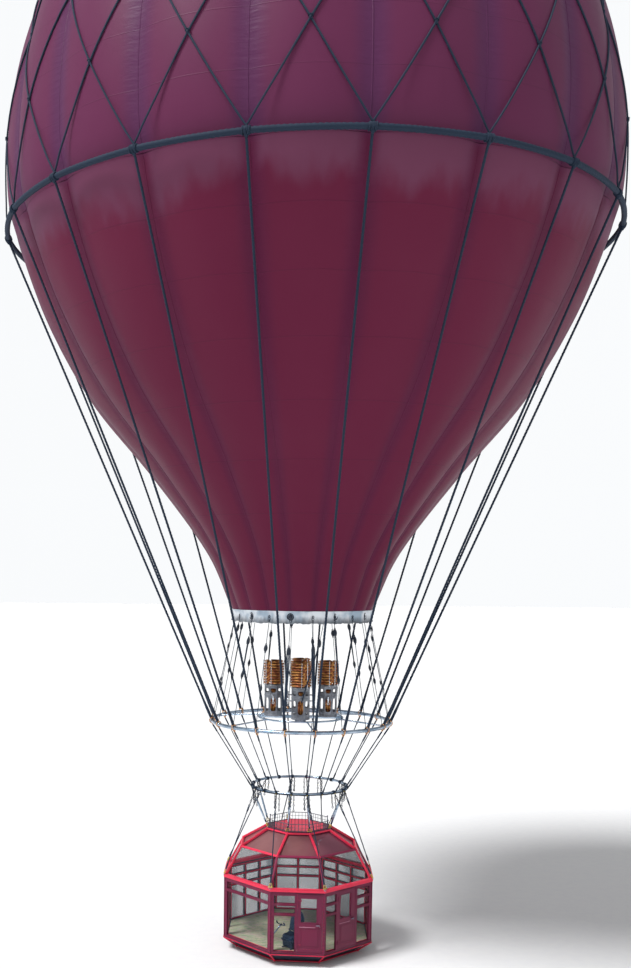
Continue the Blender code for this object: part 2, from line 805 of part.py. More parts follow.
def door_axis(index, start_along):
    """World place of a door's hinge line: +X along the leaf, +Y inward, origin at the leaf's foot."""
    start, along, inward, _ = wall_frame(index)
    position = start + along * (start_along + DOOR_CLEARANCE) - inward * HINGE_PROUD
    return Matrix((
        (along.x, inward.x, 0, position.x),
        (along.y, inward.y, 0, position.y),
        (0, 0, 1, FLOOR_Z + SILL + DOOR_CLEARANCE),
        (0, 0, 0, 1),
    ))


def knuckle(name, low, high, tab_low, tab_high, spec, matrix=None):
    """A hinge barrel on the local Z axis with its tab."""
    bm = bmesh.new()
    tube_between(bm, Vector((0, 0, low)), Vector((0, 0, high)), HINGE_BARREL, 8)
    barrel = object_from(bm, name + "_barrel", spec)
    bm = bmesh.new()
    box(bm, (tab_low[0], tab_low[1], low + 0.004), (tab_high[0], tab_high[1], high - 0.004))
    tab = object_from(bm, name + "_tab", spec)
    if matrix:
        barrel.matrix_world = matrix
        tab.matrix_world = matrix
    return barrel, tab


def add_wall_knuckles(wall, index, start_along):
    """Each door barrel turns on a wall barrel below it."""
    for level in HINGE_LEVELS:
        pieces = knuckle(f"{wall.name}_{level}", level - HINGE_LENGTH - GAP, level - GAP, (-0.026, -0.004),
                         (0.004, HINGE_PROUD + 0.004), RED, door_axis(index, start_along))
        for piece in pieces:
            union(wall, piece)


def build_door(name, index, start_along):
    """A door leaf on an empty at its hinge line, on the wall's outer face."""
    proud = HINGE_PROUD
    hinge = bpy.data.objects.new(name + "_hinge", None)
    bpy.context.collection.objects.link(hinge)
    hinge.matrix_world = door_axis(index, start_along)
    width = DOOR_WIDTH - 2 * DOOR_CLEARANCE
    height = DOOR_HEAD_Z - FLOOR_Z - SILL - 2 * DOOR_CLEARANCE
    window_low, window_high = 0.98, height - 0.16
    across = [0.0, 0.10, width - 0.18, width]
    up = [0.0, window_low, window_high, height]
    near, far = proud + 0.006, proud + 0.006 + DOOR_THICKNESS
    bm = bmesh.new()
    box(bm, (across[0], near, up[0]), (across[3], far, up[3]))
    leaf = object_from(bm, name, RED)
    bm = bmesh.new()
    box(bm, (across[1], -0.2, up[1]), (across[2], 0.3, up[2]))
    hole = object_from(bm, name + "_window_cutter", RED)
    cut = leaf.modifiers.new("window", "BOOLEAN")
    cut.operation = "DIFFERENCE"
    cut.solver = "EXACT"
    cut.object = hole
    hole.hide_render = True
    hole.display_type = "WIRE"
    barrels = []
    for level in HINGE_LEVELS:
        barrels += knuckle(f"{name}_{level}", level, level + HINGE_LENGTH, (-0.004, -0.004),
                           (0.03, near + 0.01), RED)
    for piece in barrels:
        union(leaf, piece)
    bm = bmesh.new()
    box(bm, (width - 0.10, near - 0.035, 0.90), (width - 0.06, near + 0.01, 0.93))
    neck = object_from(bm, name + "_handle_neck", STEEL)
    union(leaf, neck)
    bm = bmesh.new()
    box(bm, (width - 0.19, near - 0.045, 0.895), (width - 0.055, near - 0.025, 0.935))
    lever = object_from(bm, name + "_handle_lever", STEEL)
    union(leaf, lever)
    bm = bmesh.new()
    middle = (near + far) / 2
    box(bm, (across[1] + GAP, middle - GLASS / 2, up[1] + GAP),
        (across[2] - GAP, middle + GLASS / 2, up[2] - GAP))
    glass = object_from(bm, name + "_glass", CLEAR)
    for item in (leaf, hole, neck, lever, glass, *barrels):
        item.parent = hinge


def build_upper_frame():
    """Belt rail, sloping posts, eave, roof ribs and deck edge in one welded frame."""
    low, high = WALL_TOP_Z + GAP, BELT_RAIL_TOP_Z
    section = [(1, -0.035, low), (1, 0.105, low), (1, 0.105, high), (1, -0.035, high)]
    rail = octagon_ring("upper_frame", section, RED)
    grid = [octagon(*FRAME_FOOT), octagon(*FRAME_EAVE), octagon(*FRAME_TOP)]
    union(rail, lattice("roof_lattice", grid, FRAME_BAR, RED))


def along_frame(start, end, t, inward, z_shift):
    """A loop part of the way between two loops of the frame, moved in and up."""
    scale, inset, z = (a + t * (b - a) for a, b in zip(start, end))
    return scale, inset + inward, z + z_shift


def build_roof():
    """The glazed band stands on the rail, and the roof panels lie just under the ribs."""
    rest = (BELT_RAIL_TOP_Z + GAP - FRAME_FOOT[2]) / (FRAME_EAVE[2] - FRAME_FOOT[2])
    band = []
    for t, inward in ((rest, 0.045), (rest, 0.052), (0.93, 0.052), (0.93, 0.045)):
        band.append(along_frame(FRAME_FOOT, FRAME_EAVE, t, inward, 0.0))
    octagon_ring("upper_glass", band, CLEAR)
    panels = []
    for t, drop in ((0.09, 0.0415), (0.09, 0.0615), (0.95, 0.0615), (0.95, 0.0415)):
        panels.append(along_frame(FRAME_EAVE, FRAME_TOP, t, 0.0, -drop))
    octagon_ring("roof_panels", panels, ROOF_TINT)
    sheet = [(DECK_SCALE, -0.02, DECK_TOP_Z - 0.02), (DECK_SCALE, -0.02, DECK_TOP_Z)]
    octagon_block("roof_deck", sheet, RED)


def build_railing():
    low, high = DECK_TOP_Z + RAILING_BAR / 2 + GAP, DECK_TOP_Z + RAILING_HEIGHT
    rails = [octagon(DECK_SCALE, 0.06, low), octagon(DECK_SCALE, 0.06, high)]
    lattice("roof_railing", rails, RAILING_BAR, STEEL)


def build_base():
    octagon_block("cabin_floor", [(1, WALL + 0.02, FLOOR_Z + GAP), (1, WALL + 0.02, FLOOR_TOP_Z)], CARPET)
    octagon_block("base_skirt", [
        (BASE_SCALE, 0.095, BASE_Z), (1, 0.06, FLOOR_Z - 0.06), (1, 0.06, FLOOR_Z - FLANGE),
        (1, 0.0, FLOOR_Z - FLANGE), (1, 0.0, FLOOR_Z - GAP)], SKIRT_NAVY)
    lattice("base_frame", [octagon(BASE_SCALE, -0.005, BASE_Z + 0.026), octagon(1, -0.005, FLOOR_Z - 0.045)],
            0.05, RED)


def build_seat():
    """The seat faces the yoke; its boxes face -X before they are turned."""
    bm = bmesh.new()
    floor = FLOOR_TOP_Z + GAP
    half = SEAT_WIDTH / 2
    turn = Matrix.Translation((SEAT_X, SEAT_Y, 0)) @ Matrix.Rotation(SEAT_TURN, 4, "Z")
    box(bm, (-0.20, 0.03 - half, floor), (0.22, half - 0.03, FLOOR_Z + 0.30), turn)
    object_from(bm, "seat_pedestal", BLACK)

    bm = bmesh.new()
    low, high = FLOOR_Z + 0.30 + GAP, FLOOR_Z + SEAT_TOP
    box(bm, (-0.28, -half, low), (0.30, half, high), turn)
    cushion = object_from(bm, "seat_cushion", SEAT_NAVY, smooth=True)
    soften = cushion.modifiers.new("soften", "BEVEL")
    soften.width = 0.06
    soften.segments = 2

    bm = bmesh.new()
    tilt = Matrix.Translation((0.12, 0, high + 0.0171)) @ Matrix.Rotation(math.radians(12), 4, "Y")
    box(bm, (0, -half, 0), (0.13, half, SEAT_BACK_HEIGHT), turn @ tilt)
    back = object_from(bm, "seat_back", SEAT_NAVY, smooth=True)
    soften = back.modifiers.new("soften", "BEVEL")
    soften.width = 0.05
    soften.segments = 2


def build_steering():
    """A post carries the sloping column, and the yoke turns on the column's axis."""
    axis = (YOKE_CENTRE - COLUMN_BEND).normalized()
    bm = bmesh.new()
    foot = Vector((COLUMN_BEND.x, COLUMN_BEND.y, FLOOR_TOP_Z + GAP))
    tube_between(bm, foot, COLUMN_BEND + Vector((0, 0, COLUMN_RADIUS)), COLUMN_RADIUS, 8)
    post = object_from(bm, "steering_column", STEEL, smooth=True)
    bm = bmesh.new()
    tube_between(bm, COLUMN_BEND, YOKE_CENTRE - axis * 0.035, COLUMN_RADIUS, 8)
    union(post, object_from(bm, "column_slope_cutter", STEEL))

    pivot = bpy.data.objects.new("yoke_pivot", None)
    bpy.context.collection.objects.link(pivot)
    side = Vector((0, 0, 1)).cross(axis).normalized()
    up = axis.cross(side)
    pivot.matrix_world = Matrix((
        (side.x, up.x, axis.x, YOKE_CENTRE.x),
        (side.y, up.y, axis.y, YOKE_CENTRE.y),
        (side.z, up.z, axis.z, YOKE_CENTRE.z),
        (0, 0, 0, 1),
    ))
    bm = bmesh.new()
    tube_between(bm, Vector((0, 0, -0.0347)), Vector((0, 0, 0.03)), 0.035, 8)
    yoke = object_from(bm, "steering_yoke", BLACK)
    bm = bmesh.new()
    box(bm, (-0.17, -0.014, -0.014), (0.17, 0.014, 0.014))
    bar = object_from(bm, "yoke_bar_cutter", BLACK)
    bm = bmesh.new()
    for sx in (-1, 1):
        box(bm, (sx * 0.16 - 0.016, -0.03, -0.018), (sx * 0.16 + 0.016, 0.11, 0.018))
    grips = object_from(bm, "yoke_grip_cutter", BLACK)
    union(yoke, bar)
    union(yoke, grips)
    for item in (yoke, bar, grips):
        item.parent = pivot


def main():
    clear_scene()
    build_envelope()
    build_vent()
    build_net()
    build_crown_ring()
    build_belt_and_load_ropes()
    build_rings()
    build_burner_frame()
    for index in range(4):
        build_burner(index)
    build_load_ring()
    build_slings()
    build_walls()
    build_door_walls()
    build_door("front_door", 0, FRONT_DOOR_START)
    build_door("side_door", 1, SIDE_DOOR_START)
    build_upper_frame()
    build_roof()
    build_railing()
    build_base()
    build_seat()
    build_steering()


main()
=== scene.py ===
import json
import math

import bpy
import numpy as np
from mathutils import Matrix, Vector


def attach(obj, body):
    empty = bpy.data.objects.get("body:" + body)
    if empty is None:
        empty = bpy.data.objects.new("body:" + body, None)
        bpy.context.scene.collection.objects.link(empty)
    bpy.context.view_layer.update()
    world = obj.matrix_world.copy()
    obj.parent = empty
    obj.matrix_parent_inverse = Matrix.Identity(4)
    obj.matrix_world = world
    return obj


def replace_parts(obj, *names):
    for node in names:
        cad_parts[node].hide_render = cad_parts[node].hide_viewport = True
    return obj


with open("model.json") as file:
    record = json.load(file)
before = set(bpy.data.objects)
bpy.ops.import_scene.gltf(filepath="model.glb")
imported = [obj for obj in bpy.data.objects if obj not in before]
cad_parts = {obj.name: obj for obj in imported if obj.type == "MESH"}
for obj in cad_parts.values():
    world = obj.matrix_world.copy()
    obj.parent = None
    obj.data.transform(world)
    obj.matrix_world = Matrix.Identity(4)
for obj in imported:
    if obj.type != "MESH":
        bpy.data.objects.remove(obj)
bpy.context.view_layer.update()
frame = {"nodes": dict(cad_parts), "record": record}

tau = 2 * math.pi
goreCount = 20
goreStep = tau / goreCount
firstSeam = goreStep / 2
seams = firstSeam + goreStep * np.arange(goreCount)
up = np.array([0, 0, 1.0])

print("stage: camera and light")

camera = {"place": (0.0, -36.396, -10.457), "yaw": -0.09398, "pitch": -0.09574, "roll": -0.00598,
          "lens": 40.6, "shift": (0.1209, 0.2)}
light = {"sun": 3.4, "sunFrom": (-0.55, -0.35, 0.95), "sunWidth": 18, "fill": 0.5, "backdrop": 700.0}
floorStyle = {"z": -23.02, "half": 400.0}


def aimCamera():
    data = bpy.data.cameras.new("camera")
    eye = bpy.data.objects.new("camera", data)
    bpy.context.scene.collection.objects.link(eye)
    yaw, pitch, roll = camera["yaw"], camera["pitch"], camera["roll"]
    side = Vector((math.cos(yaw), -math.sin(yaw), 0))
    ahead = Vector((math.sin(yaw), math.cos(yaw), 0))
    forward = math.cos(pitch) * ahead + math.sin(pitch) * Vector((0, 0, 1))
    over = -math.sin(pitch) * ahead + math.cos(pitch) * Vector((0, 0, 1))
    right = math.cos(roll) * side - math.sin(roll) * over
    up = math.sin(roll) * side + math.cos(roll) * over
    turn = Matrix((right, up, -forward)).transposed().to_4x4()
    eye.matrix_world = Matrix.Translation(camera["place"]) @ turn
    data.sensor_width = 36
    data.lens = camera["lens"]
    data.shift_x, data.shift_y = camera["shift"]
    data.clip_end = 2000
    bpy.context.scene.camera = eye


def setLights():
    world = bpy.data.worlds.new("studio")
    bpy.context.scene.world = world
    world.use_nodes = True
    back = world.node_tree.nodes["Background"]
    back.inputs["Color"].default_value = (0.97, 0.985, 1.0, 1)
    back.inputs["Strength"].default_value = light["fill"]
    sun = bpy.data.lights.new("sun", "SUN")
    sun.energy = light["sun"]
    sun.angle = math.radians(light["sunWidth"])
    lamp = bpy.data.objects.new("sun", sun)
    bpy.context.scene.collection.objects.link(lamp)
    lamp.rotation_mode = "QUATERNION"
    lamp.rotation_quaternion = Vector(light["sunFrom"]).to_track_quat("Z", "Y")
    bpy.context.scene.view_settings.view_transform = "Standard"


aimCamera()
setLights()


def grid(rows, columns, closed=False, closedRows=False):
    # Quads of a grid of rows x columns, wrapped round where closed.
    r = np.arange(rows if closedRows else rows - 1)[:, None]
    c = np.arange(columns if closed else columns - 1)[None]
    up, over = (r + 1) % rows, (c + 1) % columns
    quads = np.stack([r * columns + c + 0 * over, r * columns + over, up * columns + over,
            up * columns + c], -1)
    return quads.reshape(-1, 4)


def capped(rows, columns, flip=False):
    # A grid closed round its columns with both end loops filled; flip turns every face over.
    last = (rows - 1) * columns
    quads, ends = grid(rows, columns, True), [list(range(columns)), list(range(last, last + columns))]
    if flip:
        return quads[:, ::-1].tolist() + [ends[0], ends[1][::-1]]
    return quads.tolist() + [ends[0][::-1], ends[1]]


class Pile:
    # Points and faces of many parts that become one mesh.
    def __init__(self):
        self.points, self.faces, self.count = [], [], 0

    def add(self, points, faces, move=None):
        points = np.asarray(points, float).reshape(-1, 3)
        if move is not None:
            points = points @ move[:3, :3].T + move[:3, 3]
        self.points.append(points)
        if isinstance(faces, np.ndarray):
            faces = (faces + self.count).tolist()
        else:
            faces = [[i + self.count for i in face] for face in faces]
        self.faces += faces
        self.count += len(points)
        return self

    def box(self, low, high, edge, move=None):
        return self.add(*softBox(low, high, edge), move)

    def piece(self, name, look, slot, body="balloon", sharp=40):
        mesh = bpy.data.meshes.new(name)
        mesh.from_pydata(np.concatenate(self.points).tolist(), [], self.faces)
        mesh.validate()
        mesh.materials.append(look)
        mesh.shade_smooth()
        mesh.set_sharp_from_angle(angle=math.radians(sharp))
        made = bpy.data.objects.new(name, mesh)
        bpy.context.scene.collection.objects.link(made)
        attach(made, body)
        return made


def around(radius, azimuth, z):
    # Points at an azimuth counted from the front towards +X.
    radius, azimuth, z = np.broadcast_arrays(radius, azimuth, z)
    return np.stack([radius * np.sin(azimuth), -radius * np.cos(azimuth), z], -1)


def outAndSide(azimuth):
    # The outward direction at an azimuth, and the level one across it.
    return around(1.0, azimuth, 0.0), around(1.0, azimuth + math.pi / 2, 0.0)


def unit(v):
    # Vectors at length 1.
    return v / np.maximum(np.linalg.norm(v, axis=-1, keepdims=True), 1e-9)


def tube(path, radius, sides=8, helper=(0, 0, 1), closed=False, lobes=0, depth=0.0, twist=0.0):
    # A round section carried along a path. Strands show as lobes that turn by twist radians along it.
    # point = path + radius * (1 + depth * cos(lobes * (angle - turn))) * (cos(angle) side + sin(angle) up)
    path = np.asarray(path, float)
    count = len(path)
    if closed:
        along = unit(np.roll(path, -1, 0) - np.roll(path, 1, 0))
    else:
        along = unit(np.gradient(path, axis=0))
    helper = np.broadcast_to(np.asarray(helper, float), path.shape)
    side = unit(np.cross(helper, along))
    up = np.cross(along, side)
    angle = tau * np.arange(sides) / sides
    turn = np.linspace(0, twist, count, endpoint=not closed)[:, None]
    thick = np.broadcast_to(np.asarray(radius, float), (count,))[:, None]
    if lobes:
        thick = thick * (1 + depth * np.cos(lobes * (angle[None] - turn)))
    else:
        thick = np.repeat(thick, sides, 1)
    points = path[:, None] + thick[..., None] * (np.cos(angle)[None, :, None] * side[:, None]
                                                 + np.sin(angle)[None, :, None] * up[:, None])
    return points.reshape(-1, 3), grid(count, sides, True,
            True).tolist() if closed else capped(count, sides)


def ring(radius, thick, z, segments, sides):
    # A level torus round the balloon's axis.
    return tube(around(radius, tau * np.arange(segments) / segments, z), thick, sides, closed=True)


def turned(profile, segments=32, centre=(0, 0, 0), closed=False):
    # A profile of (radius, z) turned round a vertical axis; closed joins its last point to its first.
    profile = np.asarray(profile, float)
    angle = tau * np.arange(segments) / segments
    points = np.stack([profile[:, :1] * np.cos(angle)[None], profile[:, :1] * np.sin(angle)[None],
                       np.repeat(profile[:, 1:], segments, 1)], -1) + np.asarray(centre)
    rows = len(profile)
    return points.reshape(-1, 3), grid(rows, segments, True,
            True).tolist() if closed else capped(rows, segments)


def softBox(low, high, edge=0.004):
    # A box with chamfered edges: each face is drawn in by edge, and joined to its neighbours by strips.
    low, high = np.minimum(low, high).astype(float), np.maximum(low, high).astype(float)
    edge = min(edge, 0.45 * float((high - low).min()))
    points, faces, index = [], [], {}
    signs = [(i, j, k) for i in (0, 1) for j in (0, 1) for k in (0, 1)]
    for corner in signs:
        for axis in range(3):
            inset = np.array([edge if corner[a] == 0 else -edge for a in range(3)])
            inset[axis] = 0
            index[corner, axis] = len(points)
            points.append(np.where(corner, high, low) + inset)
    for axis in range(3):
        a, b = (axis + 1) % 3, (axis + 2) % 3
        for end in (0, 1):
            loop = []
            for u, v in ((0, 0), (1, 0), (1, 1), (0, 1)):
                corner = [0, 0, 0]
                corner[axis], corner[a], corner[b] = end, u, v
                loop.append(index[tuple(corner), axis])
            faces.append(loop if end else loop[::-1])
        for u in (0, 1):
            for v in (0, 1):
                ends = []
                for end in (0, 1):
                    corner = [0, 0, 0]
                    corner[axis], corner[a], corner[b] = end, u, v
                    ends.append(tuple(corner))
                strip = [index[ends[0], a], index[ends[1], a], index[ends[1], b], index[ends[0], b]]
                faces.append(strip[::-1] if (u + v) % 2 == 0 else strip)
    for corner in signs:
        tri = [index[corner, 0], index[corner, 1], index[corner, 2]]
        faces.append(tri if sum(corner) % 2 else tri[::-1])
    return np.array(points), faces


def frameOf(start, along, inward):
    # A matrix from local (along, inward, up) to the balloon's frame.
    move = np.eye(4)
    move[:3, 0], move[:3, 1], move[:3, 2], move[:3, 3] = along, inward, np.cross(along, inward), start
    return move


def beam(start, end, wide, deep, face, edge=0.006):
    # A chamfered bar from start to end whose width lies across face.
    start, end, face = (np.asarray(v, float) for v in (start, end, face))
    along = unit(end - start)
    across = unit(np.cross(along, face))
    length = np.linalg.norm(end - start)
    points, faces = softBox((0, -wide / 2, -deep / 2), (length, wide / 2, deep / 2), edge)
    move = frameOf(start, along, across)
    return points @ move[:3, :3].T + move[:3, 3], faces


def rivet(place, out, radius=0.008, sides=6):
    # A low domed head.
    out = unit(np.asarray(out, float))
    helper = np.array([0, 0, 1.0]) if abs(out[2]) < 0.9 else np.array([1.0, 0, 0])
    side = unit(np.cross(helper, out))
    up = np.cross(out, side)
    angle = tau * np.arange(sides) / sides
    loops = [np.asarray(place) + r * radius * (np.cos(angle)[:, None] * side
            + np.sin(angle)[:, None] * up) + h * radius * out
             for r, h in ((1, -0.3), (0.9, 0.35), (0.45, 0.62))]
    return np.concatenate(loops), capped(3, sides)


print("stage: materials")


class Wire:
    # A socket that maths can be written with.
    def __init__(self, look, socket):
        self.look, self.socket = look, socket

    def maths(self, how, *others):
        return self.look.node("ShaderNodeMath", {"operation": how}, [self, *others])

    def __add__(self, other): return self.maths("ADD", other)
    def __radd__(self, other): return self.maths("ADD", other)
    def __sub__(self, other): return self.maths("SUBTRACT", other)
    def __rsub__(self, other): return self.look.node("ShaderNodeMath",
            {"operation": "SUBTRACT"}, [other, self])
    def __mul__(self, other): return self.maths("MULTIPLY", other)
    def __truediv__(self, other): return self.maths("DIVIDE", other)

    def size(self): return self.maths("ABSOLUTE")
    def part(self): return self.maths("FRACT")

    def between(self, low, high):
        # 0 below low, 1 above high, smooth between.
        return self.look.node("ShaderNodeMapRange", {"interpolation_type": "SMOOTHSTEP"},
                              {"Value": self, "From Min": low, "From Max": high}, "Result")


class Look:
    # One material, its Principled shader and the nodes that feed it.
    def __init__(self, name, colour, rough=0.5, metal=0.0, **more):
        self.made = bpy.data.materials.new(name)
        self.made.use_nodes = True
        self.tree = self.made.node_tree
        self.shader = self.tree.nodes["Principled BSDF"]
        self.colour = (*colour, 1)
        self.shader.inputs["Base Color"].default_value = self.colour
        self.shader.inputs["Roughness"].default_value = rough
        self.shader.inputs["Metallic"].default_value = metal
        for key, value in more.items():
            self.shader.inputs[key.replace("_", " ")].default_value = value

    def node(self, kind, settings=None, sockets=None, out=0):
        made = self.tree.nodes.new(kind)
        for key, value in (settings or {}).items():
            if key == "stops":
                ramp = made.color_ramp
                ramp.elements.remove(ramp.elements[1])
                ramp.elements[0].position, ramp.elements[0].color = value[0][0], (*value[0][1], 1)
                for place, colour in value[1:]:
                    ramp.elements.new(place).color = (*colour, 1)
            else:
                setattr(made, key, value)
        if isinstance(sockets, list):
            sockets = dict(enumerate(sockets))
        for key, value in (sockets or {}).items():
            socket = made.inputs[key]
            if isinstance(value, Wire):
                self.tree.links.new(value.socket, socket)
            else:
                socket.default_value = value
        return Wire(self, made.outputs[out])

    def place(self):
        return self.node("ShaderNodeTexCoord", out="Object")

    def axes(self):
        split = self.node("ShaderNodeSeparateXYZ", None, [self.place()])
        return [Wire(self, split.socket.node.outputs[i]) for i in range(3)]

    def noise(self, scale, detail=3.0, rough=0.5, stretch=None):
        source = self.place()
        if stretch:
            source = self.node("ShaderNodeMapping", None, {"Vector": source, "Scale": stretch})
        return self.node("ShaderNodeTexNoise", None,
                         {"Vector": source, "Scale": scale, "Detail": detail, "Roughness": rough}, "Fac")

    def blend(self, share, first, second):
        mix = self.tree.nodes.new("ShaderNodeMix")
        mix.data_type = "RGBA"
        for socket, value in ((mix.inputs[0], share), (mix.inputs[6], first), (mix.inputs[7], second)):
            if isinstance(value, Wire):
                self.tree.links.new(value.socket, socket)
            else:
                socket.default_value = (*value[:3], 1) if hasattr(value, "__len__") else value
        return Wire(self, mix.outputs[2])

    def feed(self, name, wire):
        self.tree.links.new(wire.socket, self.shader.inputs[name])
        return self

    def bump(self, height, strength=0.3, distance=0.01):
        return self.feed("Normal", self.node("ShaderNodeBump", None,
                                             {"Height": height, "Strength": strength,
                                             "Distance": distance}, "Normal"))


def seamDistance(look):
    # 0 on a seam and 1 in the middle of a gore, from the azimuth round the balloon's axis.
    x, y, z = look.axes()
    turn = look.node("ShaderNodeMath", {"operation": "ARCTAN2"}, [x, 0.0 - y])
    part = ((turn - firstSeam) / goreStep + 40.0).part()
    return 1.0 - (part * 2.0 - 1.0).size(), z


# Fabric tones: deep is the cloth's own burgundy; shade is painted shade beside the seams; high is the upper
# half's painted sky reflection; the pale sheen tone is painted sheen below the belt; panel is the height of a
# panel.
fabric = {"deep": (0.125, 0.010, 0.040), "shade": (0.094, 0.010, 0.044), "paintedSheen": (0.160, 0.056, 0.110),
          "high": (0.124, 0.032, 0.088), "panel": 1.45}


def makeFabric():
    # Burgundy nylon: painted shade beside the seams, where the gores dip into their valleys, a painted sky
    # reflection on the upper half, a pale painted sheen just below the belt, panel seams and a fine weave.
    look = Look("envelopeFabric", fabric["deep"], 0.44, Specular_IOR_Level=0.12, Sheen_Weight=0.03,
                Sheen_Roughness=0.5, Sheen_Tint=(0.45, 0.5, 0.85, 1))
    middle, z = seamDistance(look)
    # Painted shade: the cloth is darkened beside each seam, where the gores curve into their valleys.
    seamShade = 1.0 - middle.between(0.05, 0.42)
    cloud = look.noise(0.28, 4.0, rough=0.6, stretch=(1, 1, 0.45))
    fine = look.noise(2.2, 3.0, stretch=(1, 1, 0.3))
    base = look.blend(seamShade * 0.75, fabric["deep"], fabric["shade"])
    base = look.blend(cloud.between(0.35, 0.75) * 0.25, base, (0.145, 0.022, 0.052))
    # Painted reflection: above the belt the cloth takes a bluer tone for the sky seen in it, with a darker
    # painted shade beside the seams.
    skyReflection = z.between(-0.2, 0.3)
    base = look.blend(skyReflection * 0.62, base, look.blend(seamShade * 0.7, fabric["high"], (0.080, 0.034, 0.105)))
    # Painted sheen: a pale ragged band just below the belt stands for light glancing off the cloth, and its
    # roughness is lowered a little there.
    edge = z + (cloud - 0.5) * 2.6 + (fine - 0.5) * 0.8
    paintedSheenMask = edge.between(-1.35, -0.55) * (1.0 - z.between(-0.1, 0.25)) * middle.between(0.0, 0.25)
    base = look.blend(paintedSheenMask * 0.62, base, fabric["paintedSheen"])
    hem = ((z / fabric["panel"]).part() * 2.0 - 1.0).size().between(0.975, 0.992)
    base = look.blend(hem * 0.18, base, (0.05, 0.01, 0.03))
    look.feed("Base Color", base)
    look.feed("Roughness", 0.40 + fine * 0.12 - paintedSheenMask * 0.04)
    weave = look.noise(160.0, 1.0)
    pucker = look.noise(3.0, 2.0, stretch=(0.6, 0.6, 2.6)) * (1.0 - middle.between(0.0, 0.5))
    look.bump(pucker + weave * 0.05 + hem * 0.15, 0.35, 0.05)
    return look.made


def makeSilver():
    # Silver cloth in paler and bluer patches, creased, and darker towards its lower hem.
    look = Look("mouthCloth", (0.55, 0.62, 0.70), 0.38, 0.35, Sheen_Weight=0.1)
    patch = look.noise(1.6, 3.0)
    crease = look.noise(7.0, 4.0, stretch=(1, 1, 0.35))
    z = look.axes()[2]
    low = 1.0 - (z + (crease - 0.5) * 0.25).between(-12.02, -11.78)
    cloth = look.blend(patch.between(0.40, 0.62), (0.78, 0.82, 0.87), (0.36, 0.46, 0.56))
    look.feed("Base Color", look.blend(low * 0.85, cloth, (0.13, 0.145, 0.165)))
    look.feed("Roughness", 0.3 + crease * 0.3)
    look.bump(crease + look.noise(120.0, 1.0) * 0.05, 0.5, 0.03)
    return look.made


def makeRope():
    # Dark navy fibre, a little paler where it is worn.
    look = Look("navyRope", (0.010, 0.022, 0.048), 0.75, Specular_IOR_Level=0.3, Sheen_Weight=0.06,
            Sheen_Tint=(0.35, 0.5, 0.7, 1))
    fibre = look.noise(60.0, 4.0, stretch=(1, 1, 0.4))
    worn = look.noise(1.2, 3.0)
    look.feed("Base Color", look.blend(worn * 0.45 + fibre * 0.3, (0.007, 0.016, 0.036),
            (0.018, 0.036, 0.066)))
    look.feed("Roughness", 0.62 + fibre * 0.25)
    look.bump(fibre, 0.5, 0.01)
    return look.made


def makeMetal(name, dark, light, rough, scratch=30.0, metal=1.0, grime=0.25):
    # Metal with long fine scratches, cloudy tarnish and rougher grime.
    look = Look(name, light, rough, metal)
    cloud = look.noise(3.0, 4.0)
    hair = look.noise(scratch, 2.0, stretch=(1, 1, 0.08))
    look.feed("Base Color", look.blend(cloud.between(0.3, 0.75), light, dark))
    look.feed("Roughness", rough - 0.04 + hair * 0.12 + cloud.between(0.5, 0.8) * grime)
    look.bump(hair, 0.08, 0.004)
    return look.made


def makeCopper():
    # Heat-tinted copper in brown tones, with bright golden bands that are part heat tint and part painted
    # glint.
    look = Look("coilCopper", (0.55, 0.22, 0.09), 0.28, 1.0)
    heatTintAndGlint = look.noise(7.0, 4.0, stretch=(1, 1, 2.5))
    spot = look.noise(30.0, 2.0)
    # The bright golden stop is partly a painted glint, copied from gold glints of light on the coils.
    tint = look.node("ShaderNodeValToRGB", {"stops": [(0.28, (0.20, 0.065, 0.035)),
            (0.47, (0.38, 0.13, 0.065)),
                                                      (0.60, (0.70, 0.36, 0.10)),
                                                      (0.68, (0.34, 0.12, 0.07))]}, [heatTintAndGlint], "Color")
    look.feed("Base Color", tint)
    look.feed("Roughness", 0.22 + spot * 0.25)
    look.bump(spot, 0.1, 0.003)
    return look.made


def makeRed(name, bright, dull):
    # Crimson paint with faint orange peel, dust on it and a paler rubbed tone here and there.
    look = Look(name, bright, 0.36, Coat_Weight=0.10, Coat_Roughness=0.15, Specular_IOR_Level=0.22)
    cloud = look.noise(2.0, 4.0)
    dust = look.noise(14.0, 4.0)
    colour = look.blend(cloud.between(0.3, 0.8), bright, dull)
    look.feed("Base Color", look.blend(dust.between(0.58, 0.85) * 0.25, colour,
            [min(1, c * 1.2 + 0.02) for c in bright]))
    look.feed("Roughness", 0.28 + dust * 0.18)
    look.bump(look.noise(90.0, 2.0), 0.06, 0.003)
    return look.made


def makeGlass():
    # Clear panes with wiped smears; the rear half is made a half-opaque grey, a painted reflection in the far
    # panes.
    look = Look("clearGlass", (0.30, 0.32, 0.35), 0.05, IOR=1.45)
    y = look.axes()[1]
    smear = look.noise(0.9, 1.5, stretch=(1, 1, 0.6))
    # Painted reflection: panes towards +Y are greyed and made half opaque, standing for what is seen reflected
    # in the far panes.
    farPaneReflection = y.between(0.0, 0.9)
    look.feed("Base Color", look.blend(farPaneReflection, (0.25, 0.40, 0.58), (0.15, 0.18, 0.215)))
    look.feed("Alpha", 0.008 + smear * 0.015 + farPaneReflection * (0.44 + smear.between(0.42, 0.60) * 0.16))
    look.feed("Roughness", 0.04 + smear.between(0.5, 0.8) * 0.04)
    look.made.surface_render_method = "BLENDED"
    return look.made


